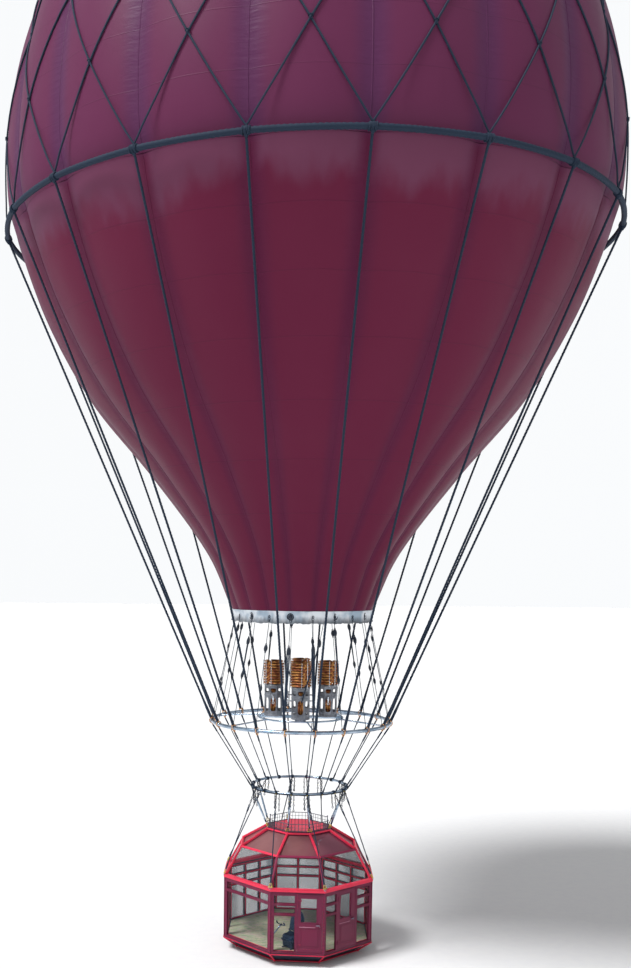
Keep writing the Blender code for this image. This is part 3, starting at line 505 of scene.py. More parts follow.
def makeRoofTint():
    # A tinted glossy sheet with faint level lines: tan towards -X as a painted sun reflection, darker burgundy
    # towards +X as painted shade.
    look = Look("roofTint", (0.20, 0.075, 0.085), 0.20, Coat_Weight=0.12, Coat_Roughness=0.08,
            Specular_IOR_Level=0.35)
    x, _, z = look.axes()
    cloud = look.noise(1.4, 4.0)
    stripe = ((z * 26.0).part() * 2.0 - 1.0).size()
    colour = look.blend(cloud.between(0.3, 0.75), (0.23, 0.095, 0.098), (0.18, 0.070, 0.080))
    # Painted light: the sheet blends from the sunlit tan towards -X to a shaded burgundy towards +X.
    colour = look.blend(x.between(-0.1, 1.1) * 0.8, colour, (0.150, 0.026, 0.060))
    look.feed("Base Color", look.blend(stripe.between(0.9, 0.98) * 0.12, colour, (0.10, 0.03, 0.04)))
    look.feed("Roughness", 0.12 + cloud * 0.14)
    look.bump(look.noise(22.0, 2.0), 0.04, 0.004)
    return look.made


def makeCarpet():
    # Khaki pile mottled with green, tan and mauve in short strokes.
    look = Look("khakiCarpet", (0.26, 0.25, 0.13), 0.95, Sheen_Weight=0.2)
    stroke = look.noise(9.0, 4.0, rough=0.6, stretch=(0.35, 1.5, 1))
    tone = look.noise(8.0, 4.0, rough=0.6, stretch=(0.40, 1.4, 1))
    pile = look.noise(140.0, 2.0)
    colour = look.node("ShaderNodeValToRGB", {"stops": [(0.41, (0.16, 0.27, 0.14)),
            (0.48, (0.34, 0.38, 0.23)),
                                                        (0.53, (0.54, 0.46, 0.30)),
                                                        (0.60, (0.25, 0.34, 0.20))]},
                       [stroke], "Color")
    colour = look.blend(tone.between(0.52, 0.60) * 0.60, colour, (0.48, 0.29, 0.32))
    look.feed("Base Color", look.blend(pile * 0.30, colour, (0.12, 0.13, 0.09)))
    look.feed("Roughness", 0.85 + pile * 0.14)
    look.bump(pile, 0.7, 0.012)
    return look.made


def makeLeather():
    # Navy leather with a cell grain.
    look = Look("seatLeather", (0.006, 0.020, 0.045), 0.45, Coat_Weight=0.05, Specular_IOR_Level=0.30)
    grain = look.node("ShaderNodeTexVoronoi", {"feature": "DISTANCE_TO_EDGE"},
            {"Vector": look.place(), "Scale": 140.0}, "Distance")
    cloud = look.noise(6.0, 3.0)
    look.feed("Base Color", look.blend(cloud, (0.003, 0.018, 0.050), (0.006, 0.026, 0.066)))
    look.feed("Roughness", 0.34 + cloud * 0.2)
    look.bump(grain.between(0.0, 0.08), 0.25, 0.003)
    return look.made


def makePlain(name, colour, other, rough, scale=20.0, metal=0.0):
    # Moulded or painted stock: two close tones, a mottled roughness and a fine skin.
    look = Look(name, colour, rough, metal)
    cloud = look.noise(scale * 0.15, 4.0)
    skin = look.noise(scale * 6.0, 2.0)
    look.feed("Base Color", look.blend(cloud.between(0.3, 0.75), colour, other))
    look.feed("Roughness", rough - 0.06 + cloud * 0.14)
    look.bump(skin, 0.12, 0.002)
    return look.made


looks = {
    "fabric": makeFabric(), "silver": makeSilver(), "rope": makeRope(), "copper": makeCopper(),
    "red": makeRed("cabinPaint", (0.155, 0.012, 0.047), (0.132, 0.013, 0.046)),
    # Painted light: a paler copy of the cabin paint for the floor rim and the base frame, which face down into
    # shade.
    "redPaintedHalfLight": makeRed("framePaintHalfLit", (0.52, 0.024, 0.068), (0.44, 0.024, 0.064)),
    # Painted highlight: a pale pinkish copy of the paint for the door ledge, standing for light on its rounded
    # edge.
    "redPaintedHighlight": makeRed("ledgePaintHighlight", (0.42, 0.17, 0.25), (0.34, 0.12, 0.19)),
    # Painted shade: a darker copy of the frame paint for posts and eaves that fall in shade.
    "redPaintedShade": makeRed("postPaintShaded", (0.235, 0.016, 0.060), (0.200, 0.017, 0.058)),
    # Painted light: a far paler copy of the cabin paint, for rails, ribs, deck and base rims that should read
    # sunlit, for strips that sit in shade, and for rivet rows that stand for dotted highlights.
    "redPaintedLight": makeRed("trimPaintLit", (0.80, 0.035, 0.085), (0.66, 0.035, 0.080)),
    "yellow": makeMetal("shackleYellow", (0.42, 0.30, 0.06), (0.62, 0.50, 0.12), 0.35, metal=0.8),
    "steel": makeMetal("ringSteel", (0.20, 0.30, 0.42), (0.52, 0.62, 0.74), 0.20),
    "burner": makeMetal("burnerSteel", (0.17, 0.18, 0.21), (0.34, 0.36, 0.40), 0.42, metal=0.85),
    "block": makePlain("blockPaint", (0.035, 0.045, 0.065), (0.022, 0.030, 0.048), 0.4, metal=0.5),
    "bright": makeMetal("brightSteel", (0.55, 0.60, 0.66), (0.80, 0.84, 0.88), 0.18),
    "brass": makeMetal("shackleBrass", (0.55, 0.24, 0.10), (0.80, 0.42, 0.16), 0.30),
    "rail": makePlain("railPaint", (0.11, 0.13, 0.16), (0.08, 0.10, 0.13), 0.45),
    "clear": makeGlass(),
    "tint": makeRoofTint(), "carpet": makeCarpet(), "leather": makeLeather(),
    "skirt": makePlain("skirtPaint", (0.014, 0.022, 0.045), (0.022, 0.032, 0.055), 0.5),
    "grip": makePlain("gripBlack", (0.003, 0.014, 0.040), (0.005, 0.020, 0.052), 0.6),
    "gasket": makePlain("gasketRubber", (0.05, 0.012, 0.022), (0.035, 0.010, 0.018), 0.6),
}

floorMesh = bpy.data.meshes.new("floor")
h = floorStyle["half"]
floorMesh.from_pydata([(-h, -h, floorStyle["z"]), (h, -h, floorStyle["z"]), (h, h, floorStyle["z"]),
                       (-h, h, floorStyle["z"])], [], [(0, 1, 2, 3)])
floorMesh.materials.append(makePlain("paleFloor", (0.80, 0.80, 0.80), (0.78, 0.78, 0.79), 0.9))
floorPlane = bpy.data.objects.new("floor", floorMesh)
bpy.context.scene.collection.objects.link(floorPlane)


def makeBackdrop():
    # A pale dome far behind everything: it is seen, but neither lights nor shades.
    rows, columns = 24, 48
    rise = np.linspace(-1.45, 1.45, rows)[:, None]
    turn = (tau * np.arange(columns) / columns)[None]
    size = light["backdrop"]
    points = around(size * np.cos(rise), turn, size * np.sin(rise)).reshape(-1, 3)
    mesh = bpy.data.meshes.new("backdrop")
    last = (rows - 1) * columns
    mesh.from_pydata(points.tolist(), [], grid(rows, columns, True).tolist()
                     + [list(range(columns)), list(range(last, last + columns))])
    pale = Look("paleBackdrop", (0.9, 0.9, 0.9), 1.0, Emission_Color=(0.97, 0.985, 1.0, 1),
            Emission_Strength=0.97)
    pale.shader.inputs["Base Color"].default_value = (0, 0, 0, 1)
    mesh.materials.append(pale.made)
    dome = bpy.data.objects.new("backdrop", mesh)
    bpy.context.scene.collection.objects.link(dome)
    dome.visible_diffuse = dome.visible_glossy = dome.visible_transmission = dome.visible_shadow = False


makeBackdrop()

print("stage: envelope")

shell = {"mouth": -11.63, "widestZ": 1.43, "widest": 9.35, "height": 11.2, "bulge": 0.158, "fabric": 0.010,
         "columns": 12, "lowRows": 56, "highRows": 64, "vent": 2.87, "crownRadius": 0.51,
         "points": ((-11.63, 2.268), (-9.845, 3.037), (-7.351, 4.849), (-4.988, 6.799),
                    (-2.494, 8.22), (0.0, 9.18))}


def lowRadius(z):
    # Seam radius below the belt: cubic pieces through the points, with the slope of their neighbours.
    zs, rs = np.array(shell["points"]).T
    slope = np.array([(rs[min(i + 1, 5)] - rs[max(i - 1, 0)]) / (zs[min(i + 1, 5)] - zs[max(i - 1, 0)])
            for i in range(6)])
    i = np.clip(np.searchsorted(zs, z) - 1, 0, 4)
    span = zs[i + 1] - zs[i]
    t = (z - zs[i]) / span
    return ((1 + 2 * t) * (1 - t) ** 2 * rs[i] + t * (1 - t) ** 2 * span * slope[i]
            + t * t * (3 - 2 * t) * rs[i + 1] + t * t * (t - 1) * span * slope[i + 1])


domeAngle = np.linspace(math.asin(-shell["widestZ"] / shell["height"]), math.pi / 2, 1200)
domeRadius = shell["widest"] * np.cos(domeAngle)
domeZ = shell["widestZ"] + shell["height"] * np.sin(domeAngle)
domeRun = np.concatenate([[0], np.cumsum(np.hypot(np.diff(domeRadius), np.diff(domeZ)))])
crownRun = float(domeRun[600:][domeRadius[600:] <= shell["crownRadius"]][0])


def goreArc(azimuth):
    # 0 on a seam, 1 in a gore's middle, round between them.
    part = ((azimuth - firstSeam) / goreStep) % 1.0
    return np.sin(np.pi * part) ** 0.8


def wrinkle(azimuth, z):
    # Small puckers that start at the seams and die out across the gore.
    part = ((azimuth - firstSeam) / goreStep) % 1.0
    near = np.exp(-np.minimum(part, 1 - part) / 0.16)
    return 0.010 * near * np.sin(z * 9.0 + 3.0 * np.sin(azimuth * 31.0)) * np.sin(np.pi * part) ** 0.5


def lowPlace(share, azimuth):
    # A point on the fabric below the belt; share goes from the mouth, 0, to the belt, 1.
    z = shell["mouth"] * (1 - share)
    out = shell["bulge"] * np.sin(np.pi * (0.06 + 0.5 * share)) ** 0.5
    pinch = 0.05 * np.exp(-(z / 0.35) ** 2)
    return around(lowRadius(z) + out * goreArc(azimuth) - pinch + wrinkle(azimuth, z), azimuth, z)


def highPlace(run, azimuth, lift=0.0):
    # A point on the fabric above the belt; run is the length along the dome's profile.
    radius = np.interp(run, domeRun, domeRadius)
    z = np.interp(run, domeRun, domeZ)
    slopeR = np.interp(run, domeRun, np.gradient(domeRadius, domeRun))
    slopeZ = np.interp(run, domeRun, np.gradient(domeZ, domeRun))
    share = run / crownRun
    out = shell["bulge"] * np.sin(np.pi * np.clip(0.56 + 0.42 * share, 0, 0.999)) ** 0.5
    merge = (float(np.interp(0.0, domeRun, domeRadius)) - shell["points"][-1][1]) * np.exp(-run / 0.6)
    pinch = 0.05 * np.exp(-(run / 0.35) ** 2)
    stand = out * goreArc(azimuth) - pinch - merge + wrinkle(azimuth, z) * (1 - share)
    return around(radius + slopeZ * (stand + lift), azimuth, z - slopeR * (stand + lift))


def fabricShell(name, place, rows, skinDepth, node):
    # Two skins of the same surface a fabric's thickness apart, joined at both hems.
    columns = goreCount * shell["columns"]
    azimuth = (firstSeam + tau * np.arange(columns) / columns)[None]
    skins = [place(rows[:, None], azimuth, depth) for depth in (0.0, -skinDepth)]
    count = len(rows) * columns
    faces = grid(len(rows), columns, True)
    hems = []
    loop = np.arange(columns)
    for start in (0, (len(rows) - 1) * columns):
        near, far = start + loop, start + np.roll(loop, -1)
        quads = np.stack([near, near + count, far + count, far], -1)
        hems.append(quads if start == 0 else quads[:, ::-1])
    faces = np.concatenate([faces, faces[:, ::-1] + count, *hems])
    points = np.concatenate([skin.reshape(-1, 3) for skin in skins])
    made = Pile().add(points, faces).piece(name, looks["fabric"], "envelope_burgundy", sharp=50)
    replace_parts(made, node)
    return made


def lowSkin(rows, azimuth, depth):
    return lowPlace(rows, azimuth) + depth * around(1.0, azimuth + 0 * rows, 0.0)


fabricShell("envelopeLowerSkin", lowSkin, np.linspace(0, 1, shell["lowRows"]),
        shell["fabric"], "envelope_lower")
ventRun = float(np.interp(-shell["vent"], -domeRadius[200:], domeRun[200:]))
fabricShell("envelopeUpperSkin", highPlace, np.linspace(0.001, ventRun, shell["highRows"]),
        shell["fabric"], "envelope_upper")


def makeVent():
    # The parachute vent: a shallow cap under the fabric's hem, gathered to a ring in the middle.
    columns = goreCount * 6
    azimuth = (firstSeam + tau * np.arange(columns) / columns)[None]
    share = np.linspace(0, 1, 16)[:, None]
    radius = shell["vent"] * (1 - share) + 0.12 * share
    top = float(np.interp(ventRun, domeRun, domeZ))
    crown = float(np.interp(crownRun, domeRun, domeZ))
    z = top + (crown - top - 0.02) * np.sin(share * np.pi / 2) - 0.004
    sag = 0.05 * np.sin(np.pi * share) * (1 - goreArc(azimuth))
    skin = around(radius, azimuth, z - sag)
    low = skin - np.array([0, 0, 0.012])
    count = skin.shape[0] * columns
    faces = grid(16, columns, True)
    loop = np.arange(columns)
    near, far = loop, np.roll(loop, -1)
    hem = np.stack([near, near + count, far + count, far], -1)
    caps = [list(range(15 * columns, 16 * columns)),
            [i + count for i in range(15 * columns, 16 * columns)][::-1]]
    pile = Pile()
    pile.add(np.concatenate([skin.reshape(-1, 3), low.reshape(-1, 3)]),
             np.concatenate([faces, faces[:, ::-1] + count, hem]).tolist() + caps)
    pile.add(*ring(shell["vent"] - 0.01, 0.018, top + 0.002, 160, 8))
    made = pile.piece("parachuteVentCloth", looks["fabric"], "envelope_burgundy", sharp=50)
    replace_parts(made, "parachute_vent")


makeVent()


def makeSeamTapes():
    # A folded tape stands in each valley from the mouth to the vent.
    pile = Pile()
    for azimuth in seams:
        low = lowPlace(np.linspace(0.0, 0.995, 60), np.full(60, azimuth))
        high = highPlace(np.linspace(0.03, ventRun, 60), np.full(60, azimuth))
        for line in (low, high):
            out = around(1.0, azimuth, 0.0)
            side = np.array([math.cos(azimuth), math.sin(azimuth), 0])
            section = np.stack([line - 0.022 * side, line - 0.008 * side + 0.016 * out,
                                line + 0.008 * side + 0.016 * out, line + 0.022 * side], 1)
            faces = grid(60, 4, True).tolist() + [[3, 2, 1, 0], [236, 237, 238, 239]]
            pile.add(section, faces)
    return pile.piece("seamTapes", looks["fabric"], "envelope_burgundy", sharp=60)


makeSeamTapes()

print("stage: ropes and net")

rope = {"belt": 9.513, "beltThick": 0.079, "load": 0.036, "net": 0.0265, "netRows": 7, "loadPitch": 0.34,
        "ringA": 2.951, "ringTube": 0.058, "ringZ": -15.351, "lashings": 5, "crownZ": 12.643,
        "eye": 0.105, "whip": 0.42, "taper": 0.75}


def blob(centre, axes, radii, rows=6, columns=10):
    # An ellipsoid: centre + sin(p) * (cos(q) a + sin(q) b) + cos(p) c, with small flats at its poles.
    p = np.linspace(0.18, math.pi - 0.18, rows)[:, None]
    q = (tau * np.arange(columns) / columns)[None]
    a, b, c = (np.asarray(axis) * size for axis, size in zip(axes, radii))
    points = (np.asarray(centre) + (np.sin(p) * np.cos(q))[..., None] * a
              + (np.sin(p) * np.sin(q))[..., None] * b + (np.cos(p) + 0 * q)[..., None] * c)
    return points.reshape(-1, 3), capped(rows, columns, True)


def loop(centre, first, second, radius, thick, segments=16, sides=6, stretch=1.0):
    # A closed round bar in the plane of two directions, stretched along the first.
    angle = tau * np.arange(segments) / segments
    first, second = np.asarray(first, float), np.asarray(second, float)
    path = np.asarray(centre) + radius * (stretch * np.cos(angle)[:, None] * first
            + np.sin(angle)[:, None] * second)
    return tube(path, thick, sides, np.cross(first, second), closed=True)


def bar(start, end, thick, sides=10, count=2):
    # A straight round bar; thick may run through several values.
    start, end = np.asarray(start, float), np.asarray(end, float)
    along = unit(end - start)
    helper = (0, 0, 1) if abs(along[2]) < 0.9 else (1, 0, 0)
    return tube(start + np.linspace(0, 1, count)[:, None] * (end - start), thick, sides, helper)


def makeBelt():
    # The laid equator rope, a little straighter between its knots, with lashings where the load ropes hang.
    turns = 142
    angle = tau * np.arange(1200) / 1200
    sag = 0.022 * np.abs(np.sin((angle - firstSeam) / goreStep * math.pi))
    pile = Pile().add(*tube(around(rope["belt"] - sag, angle, 0.0),
            rope["beltThick"] * 0.97, 14, closed=True,
                            lobes=3, depth=0.10, twist=tau * turns))
    for azimuth in seams:
        out, side = outAndSide(azimuth)
        centre = rope["belt"] * out
        for i in range(rope["lashings"]):
            shift = (i - (rope["lashings"] - 1) / 2) * 0.042
            lean = unit(up + 0.12 * (-1) ** i * side)
            pile.add(*loop(centre + shift * side, out, lean, rope["beltThick"] + 0.014, 0.022, 18, 6))
        pile.add(*blob(centre + 0.075 * out + 0.02 * up, (side, up, out), (0.075, 0.06, 0.035)))
        pile.add(*blob(centre - 0.10 * up, (side, out, up), (0.055, 0.055, 0.07)))
    made = pile.piece("equatorRope", looks["rope"], "rope_navy")
    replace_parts(made, "belt_and_load_ropes")


def makeLoadRopes():
    # Twenty laid ropes from the belt to the burner ring, whipped above the thimbles.
    pile, brass = Pile(), Pile()
    for azimuth in seams:
        out, side = outAndSide(azimuth)
        high = rope["belt"] * out - np.array([0, 0, 0.06])
        low = rope["ringA"] * out + np.array([0, 0, rope["ringZ"]])
        along = unit(low - high)
        eye = low - along * rope["eye"]
        length = float(np.linalg.norm(eye - high))
        path = high + np.linspace(0, 1, 400)[:, None] * (eye - high)
        pile.add(*tube(path, rope["load"] * 0.95, 9, side, lobes=3, depth=0.13,
                twist=tau * length / rope["loadPitch"]))
        whip = np.linspace(0, 1, 25)
        pile.add(*tube(eye - along * rope["whip"] * whip[:, None],
                0.046 + 0.004 * np.cos(whip * tau * 12), 10, side))
        pile.add(*bar(eye - along * rope["whip"], eye - along * rope["taper"],
                np.linspace(0.044, 0.034, 6), 9, 6))
        across = np.cross(along, side)
        brass.add(*loop(low - along * 0.012, along, across, 0.086, 0.014, 20, 8, 1.12))
        brass.add(*bar(eye - side * 0.055, eye + side * 0.055, 0.017, 10))
        for sign in (-1, 1):
            brass.add(*rivet(eye + sign * side * 0.055, sign * side, 0.024, 8))
        hook = low + np.array([0, 0, -0.085]) - 0.01 * out
        brass.add(*loop(hook, (0, 0, 1), side, 0.04, 0.011, 14, 6, 1.2))
    pile.piece("loadRopes", looks["rope"], "rope_navy")
    brass.piece("ringThimbles", looks["brass"], "coil_copper")


def ventZ(radius):
    # The vent cap's height: a quarter sine from the fabric's hem to the crown.
    top = float(np.interp(ventRun, domeRun, domeZ))
    crown = float(np.interp(crownRun, domeRun, domeZ))
    share = np.clip((shell["vent"] - radius) / (shell["vent"] - 0.12), 0, 1)
    return top + (crown - top - 0.02) * np.sin(share * np.pi / 2)


def netPlace(row, azimuth, lift):
    # A point of the net; row counts from the belt, 0, to the crown ring, 7.
    run = crownRun * row / rope["netRows"]
    onFabric = highPlace(np.minimum(run, ventRun), azimuth, lift)
    radius = np.interp(run, domeRun, domeRadius)
    last = np.clip((row - 6.0), 0, 1)
    capped = around(radius + 0.10 * last ** 3, azimuth, ventZ(radius) + lift + 0.02 * last ** 3)
    point = np.where((row > 6.0)[..., None], capped, onFabric)
    reach = around(rope["belt"], azimuth, 0.11) - highPlace(0.0 * run, azimuth, lift)
    return point + reach * (np.clip(1 - row / 0.9, 0, 1) ** 2)[..., None]


def makeNet():
    # Diamonds of rope that lie on the gores, with a lashed knot at each crossing.
    pile, knots = Pile(), Pile()
    step = np.linspace(0, 1, 15)
    for row in range(rope["netRows"]):
        for k in range(goreCount):
            start = firstSeam + (k + 0.5 * (row % 2)) * goreStep
            for sign in (-1, 1):
                azimuth = start + sign * step * goreStep / 2
                path = netPlace(row + step, azimuth, 0.028)
                helper = around(1.0, azimuth, 0.0) if row < 4 else (0, 0, 1)
                pile.add(*tube(path, rope["net"], 6, helper))
            if row == 0:
                continue
            spot = netPlace(np.array([float(row)]), np.array([start]), 0.034)[0]
            higher = netPlace(np.array([row + 0.1]), np.array([start]), 0.034)[0]
            up = unit(higher - spot)
            side = around(1.0, start + math.pi / 2, 0.0)
            out = np.cross(side, up)
            knots.add(*blob(spot, (side, up, out), (0.05, 0.062, 0.045), 6, 8))
            for lean in (-0.5, 0.5):
                turn = unit(up + lean * side)
                knots.add(*loop(spot + turn * 0.055, np.cross(out, turn), out, 0.042, 0.012, 10, 5))
    made = pile.piece("netRopes", looks["rope"], "rope_navy")
    knots.piece("netKnots", looks["rope"], "rope_navy")
    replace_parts(made, "net")


def makeCrownRing():
    # A thick flat ring with rounded edges, and an eye round it for each net rope.
    profile = [(0.510 - 0.012 * (1 - c), rope["crownZ"] + 0.030 + 0.030 * s) for c,
            s in ((0.3, -1), (1, -0.5), (1, 0.5), (0.3, 1))]
    profile += [(0.377, rope["crownZ"] + 0.06), (0.367, rope["crownZ"] + 0.05),
            (0.367, rope["crownZ"] + 0.01), (0.377, rope["crownZ"])]
    pile = Pile().add(*turned(profile, 120, closed=True))
    eyes = Pile()
    for azimuth in seams:
        out = around(1.0, azimuth + goreStep / 2, 0.0)
        eyes.add(*loop(0.4385 * out + np.array([0, 0, rope["crownZ"] + 0.03]), out, (0, 0, 1), 0.05,
                0.014, 18, 6, 2.2))
    made = pile.piece("crownRingSteel", looks["steel"], "ring_steel")
    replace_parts(made, "crown_ring")
    eyes.piece("crownEyes", looks["rope"], "rope_navy")


makeBelt()
makeLoadRopes()
makeNet()
makeCrownRing()

print("stage: mouth and rigging")

mouth = {"drop": 0.39, "fittings": 10, "firstFitting": math.radians(-9), "fittingZ": -11.81, "line": 0.011}


def bandSkin(rows, azimuth, depth):
    # The silver band: the fabric's lowest section let down, with ruffles that grow towards its hem.
    bulge = shell["bulge"] * math.sin(math.pi * 0.06) ** 0.5
    radius = lowRadius(np.array([shell["mouth"]]))[0] + bulge * goreArc(azimuth)
    ruffle = 0.016 * np.sin(azimuth * 61 + 2 * np.sin(azimuth * 7)) + 0.012 * np.sin(azimuth * 113 + 1.3)
    roll = 0.03 * np.sin(rows * np.pi) + 0.02 * rows
    z = shell["mouth"] - 0.001 - rows * (mouth["drop"] - 0.012 + 0.012 * np.sin(azimuth * 29)
            + 0.008 * np.sin(azimuth * 83))
    return around(radius + rows * ruffle - roll + depth, azimuth, z)


def makeMouth():
    # The band's two skins, joined at both hems, with a cord at its foot and one under its head.
    rows = np.linspace(0, 1, 12)[:, None]
    columns = 480
    azimuth = (firstSeam + tau * np.arange(columns) / columns)[None]
    pile = Pile()
    outer, inner = bandSkin(rows, azimuth, 0.0), bandSkin(rows, azimuth, -0.010)
    count = 12 * columns
    faces = grid(12, columns, True)[:, ::-1]
    near, far = np.arange(columns), np.roll(np.arange(columns), -1)
    hems = [np.stack([near, far, far + count, near + count], -1),
            np.stack([near, near + count, far + count, far], -1) + 11 * columns]
    pile.add(np.concatenate([outer.reshape(-1, 3), inner.reshape(-1, 3)]),
             np.concatenate([faces, faces[:, ::-1] + count, *hems]))
    pile.add(*tube(bandSkin(np.ones(columns), azimuth[0], -0.005), 0.014, 8, closed=True))
    pile.add(*tube(bandSkin(np.full(columns, 0.035), azimuth[0], 0.002), 0.012, 6, closed=True))
    made = pile.piece("mouthBandCloth", looks["silver"], "mouth_band_silver", sharp=60)
    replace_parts(made, "mouth_band")


def makeFittings():
    # Round shackle plates on the band, each with a line and a pair of blocks down to the burner ring.
    plates, lines, blocks = Pile(), Pile(), Pile()
    for j in range(2 * mouth["fittings"]):
        azimuth = mouth["firstFitting"] + j * goreStep
        big = j % 2 == 0
        out, side = outAndSide(azimuth)
        radius = float(np.linalg.norm(bandSkin(np.array([0.5]), np.array([azimuth]), 0.0)[0, :2]))
        centre = out * (radius + 0.018) + up * mouth["fittingZ"]
        size = 0.095 if big else 0.03
        plates.add(*loop(centre, up, side, size, 0.020 if big else 0.010, 28, 8))
        plates.add(*loop(centre - up * (size + 0.045), up, side, 0.034, 0.011, 14, 6, 1.4))
        if big:
            plates.add(*blob(centre, (side, up, out), (0.07, 0.07, 0.016), 6, 16))
            plates.add(*rivet(centre + out * 0.014, out, 0.028, 8))
        head = centre - up * (size + 0.09)
        foot = rope["ringA"] * out + up * (rope["ringZ"] + 0.07) - 0.05 * side
        ends = [0.18 + 0.10 * math.sin(j * 2.1), 0.58 + 0.10 * math.sin(j * 1.3 + 1)]
        front = j in (0, 1)
        if front:
            ends = [0.26, 0.80]
        along = unit(foot - head)
        spots = [head + (foot - head) * share for share in ends]
        lines.add(*bar(head, spots[0], mouth["line"], 6))
        for share in ((-1, 1, 0) if big or front else (0,)):
            gap = side * (0.045 if front else 0.028) * share
            lines.add(*bar(spots[0] + gap, spots[1] + gap * 0.4,
                    mouth["line"] * (1.8 if front else 1.0), 6))
        lines.add(*bar(spots[1], foot, mouth["line"] * (1.6 if front else 1.0), 6))
        for spot, bulk in zip(spots, (1.0, 0.8)):
            for sign in (-1, 1):
                blocks.add(*blob(spot + sign * 0.026 * out, (along, side, out),
                        (0.11 * bulk, 0.055 * bulk, 0.012), 5, 12))
            blocks.add(*bar(spot - 0.03 * out, spot + 0.03 * out, 0.04 * bulk, 12))
            blocks.add(*loop(spot - along * 0.12 * bulk, along, side, 0.028, 0.009, 12, 5, 1.3))
            blocks.add(*loop(spot + along * 0.12 * bulk, along, side, 0.024, 0.009, 12, 5, 1.3))
        blocks.add(*blob(foot, (side, out, up), (0.035, 0.035, 0.06), 5, 8))
    start, end = around(1.94, math.radians(17), -12.65), np.array([0.03, -1.22, -14.62])
    lines.add(*bar(start, end, 0.020, 7))
    lines.add(*bar(start, around(2.31, math.radians(17), -12.0), 0.010, 6))
    blocks.add(*blob(start, (up, around(1.0, 1.9, 0.0), around(1.0, 0.3, 0.0)), (0.14, 0.06, 0.04), 6, 10))
    plates.piece("mouthFittings", looks["block"], "ring_steel")
    lines.piece("mouthLines", looks["rope"], "rope_navy")
    blocks.piece("mouthBlocks", looks["block"], "burner_steel")


makeMouth()
makeFittings()

print("stage: rings and burners")

burner = {"pitch": 0.905, "base": -15.195, "height": 1.06, "face": 0.285, "coil": 0.31, "coilTube": 0.034,
          "turns": 9, "coilHeight": 0.80, "hub": 1.40, "arms": 6, "firstArm": math.radians(9), "arm": 0.030,
          "slots": (22, 22, 22, -30), "slotHalf": 10, "edge": 0.305, "nozzle": 0.10}


def makeRing(name, radius, thick, z, node, collars):
    # A polished torus with narrow welded collars.
    pile = Pile().add(*ring(radius, thick, z, 240, 18))
    for azimuth in collars:
        for shift in (-0.07, 0.07):
            turn = azimuth + shift / radius
            out = around(1.0, turn, 0.0)
            pile.add(*loop(radius * out + np.array([0, 0, z]), out, (0, 0, 1), thick + 0.002, 0.008, 18, 6))
    made = pile.piece(name, looks["steel"], "ring_steel")
    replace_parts(made, node)


def makeFrame():
    # A round hub tube, six arms out to the ring with end clamps, and crossed bearer plates under the burners.
    z = burner["base"] - 0.0303
    pile = Pile().add(*ring(burner["hub"], 0.030, z, 120, 12))
    for k in range(burner["arms"]):
        azimuth = burner["firstArm"] + k * tau / burner["arms"]
        out, side = outAndSide(azimuth)
        far = (rope["ringA"] - 0.058) * out + np.array([0, 0, rope["ringZ"] + 0.004])
        near = burner["hub"] * out + np.array([0, 0, z])
        pile.add(*bar(near, far, burner["arm"] * 0.8, 12))
        for end in (near + 0.05 * out, far - 0.06 * out):
            pile.add(*bar(end - 0.05 * out, end + 0.05 * out, burner["arm"] * 1.15, 14))
            pile.add(*rivet(end + [0, 0, burner["arm"]], (0, 0, 1), 0.016, 8))
    for turn in (0, 1):
        move = np.eye(4)
        if turn:
            move[:2, :2] = [[0, -1], [1, 0]]
        for side in (-1, 1):
            pile.box((-burner["hub"], side * 0.14 - 0.035, z - 0.03),
                    (burner["hub"], side * 0.14 + 0.035, z + 0.029), 0.008, move)
        for x in (-1.15, -0.62, 0.62, 1.15):
            pile.box((x - 0.03, -0.16, z - 0.022), (x + 0.03, 0.16, z + 0.022), 0.006, move)
            for side in (-1, 1):
                pile.add(*rivet((x, side * 0.14, z + 0.028), (0, 0, 1), 0.014, 8), move)
    made = pile.piece("burnerFrameSteel", looks["steel"], "ring_steel")
    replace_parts(made, "burner_frame")


def holedPlate(half, low, high, holeHalf, holeLow, holeHigh, thick, samples=40):
    # A plate in the x-z plane with one rounded hole: outline and hole are sampled at the same angles.
    angle = tau * (np.arange(samples) + 0.5) / samples
    c, s = np.cos(angle), np.sin(angle)
    middle, holeMiddle = (low + high) / 2, (holeLow + holeHigh) / 2
    tall, holeTall = (high - low) / 2, (holeHigh - holeLow) / 2
    reach = 1 / np.maximum(np.abs(c), np.abs(s))
    outer = np.stack([half * c * reach, middle + tall * s * reach], -1)
    round4 = (np.abs(c) ** 4 + np.abs(s) ** 4) ** -0.25
    inner = np.stack([holeHalf * c * round4, holeMiddle + holeTall * s * round4], -1)
    rim = inner + 0.12 * (inner - [0, holeMiddle])
    loops = []
    for flat, depth in ((outer, 0.0), (rim, 0.0), (rim, -0.008), (inner, -0.008),
            (inner, thick), (outer, thick)):
        loops.append(np.stack([flat[:, 0], np.full(samples, depth), flat[:, 1]], -1))
    return np.concatenate(loops), grid(6, samples, True, True)


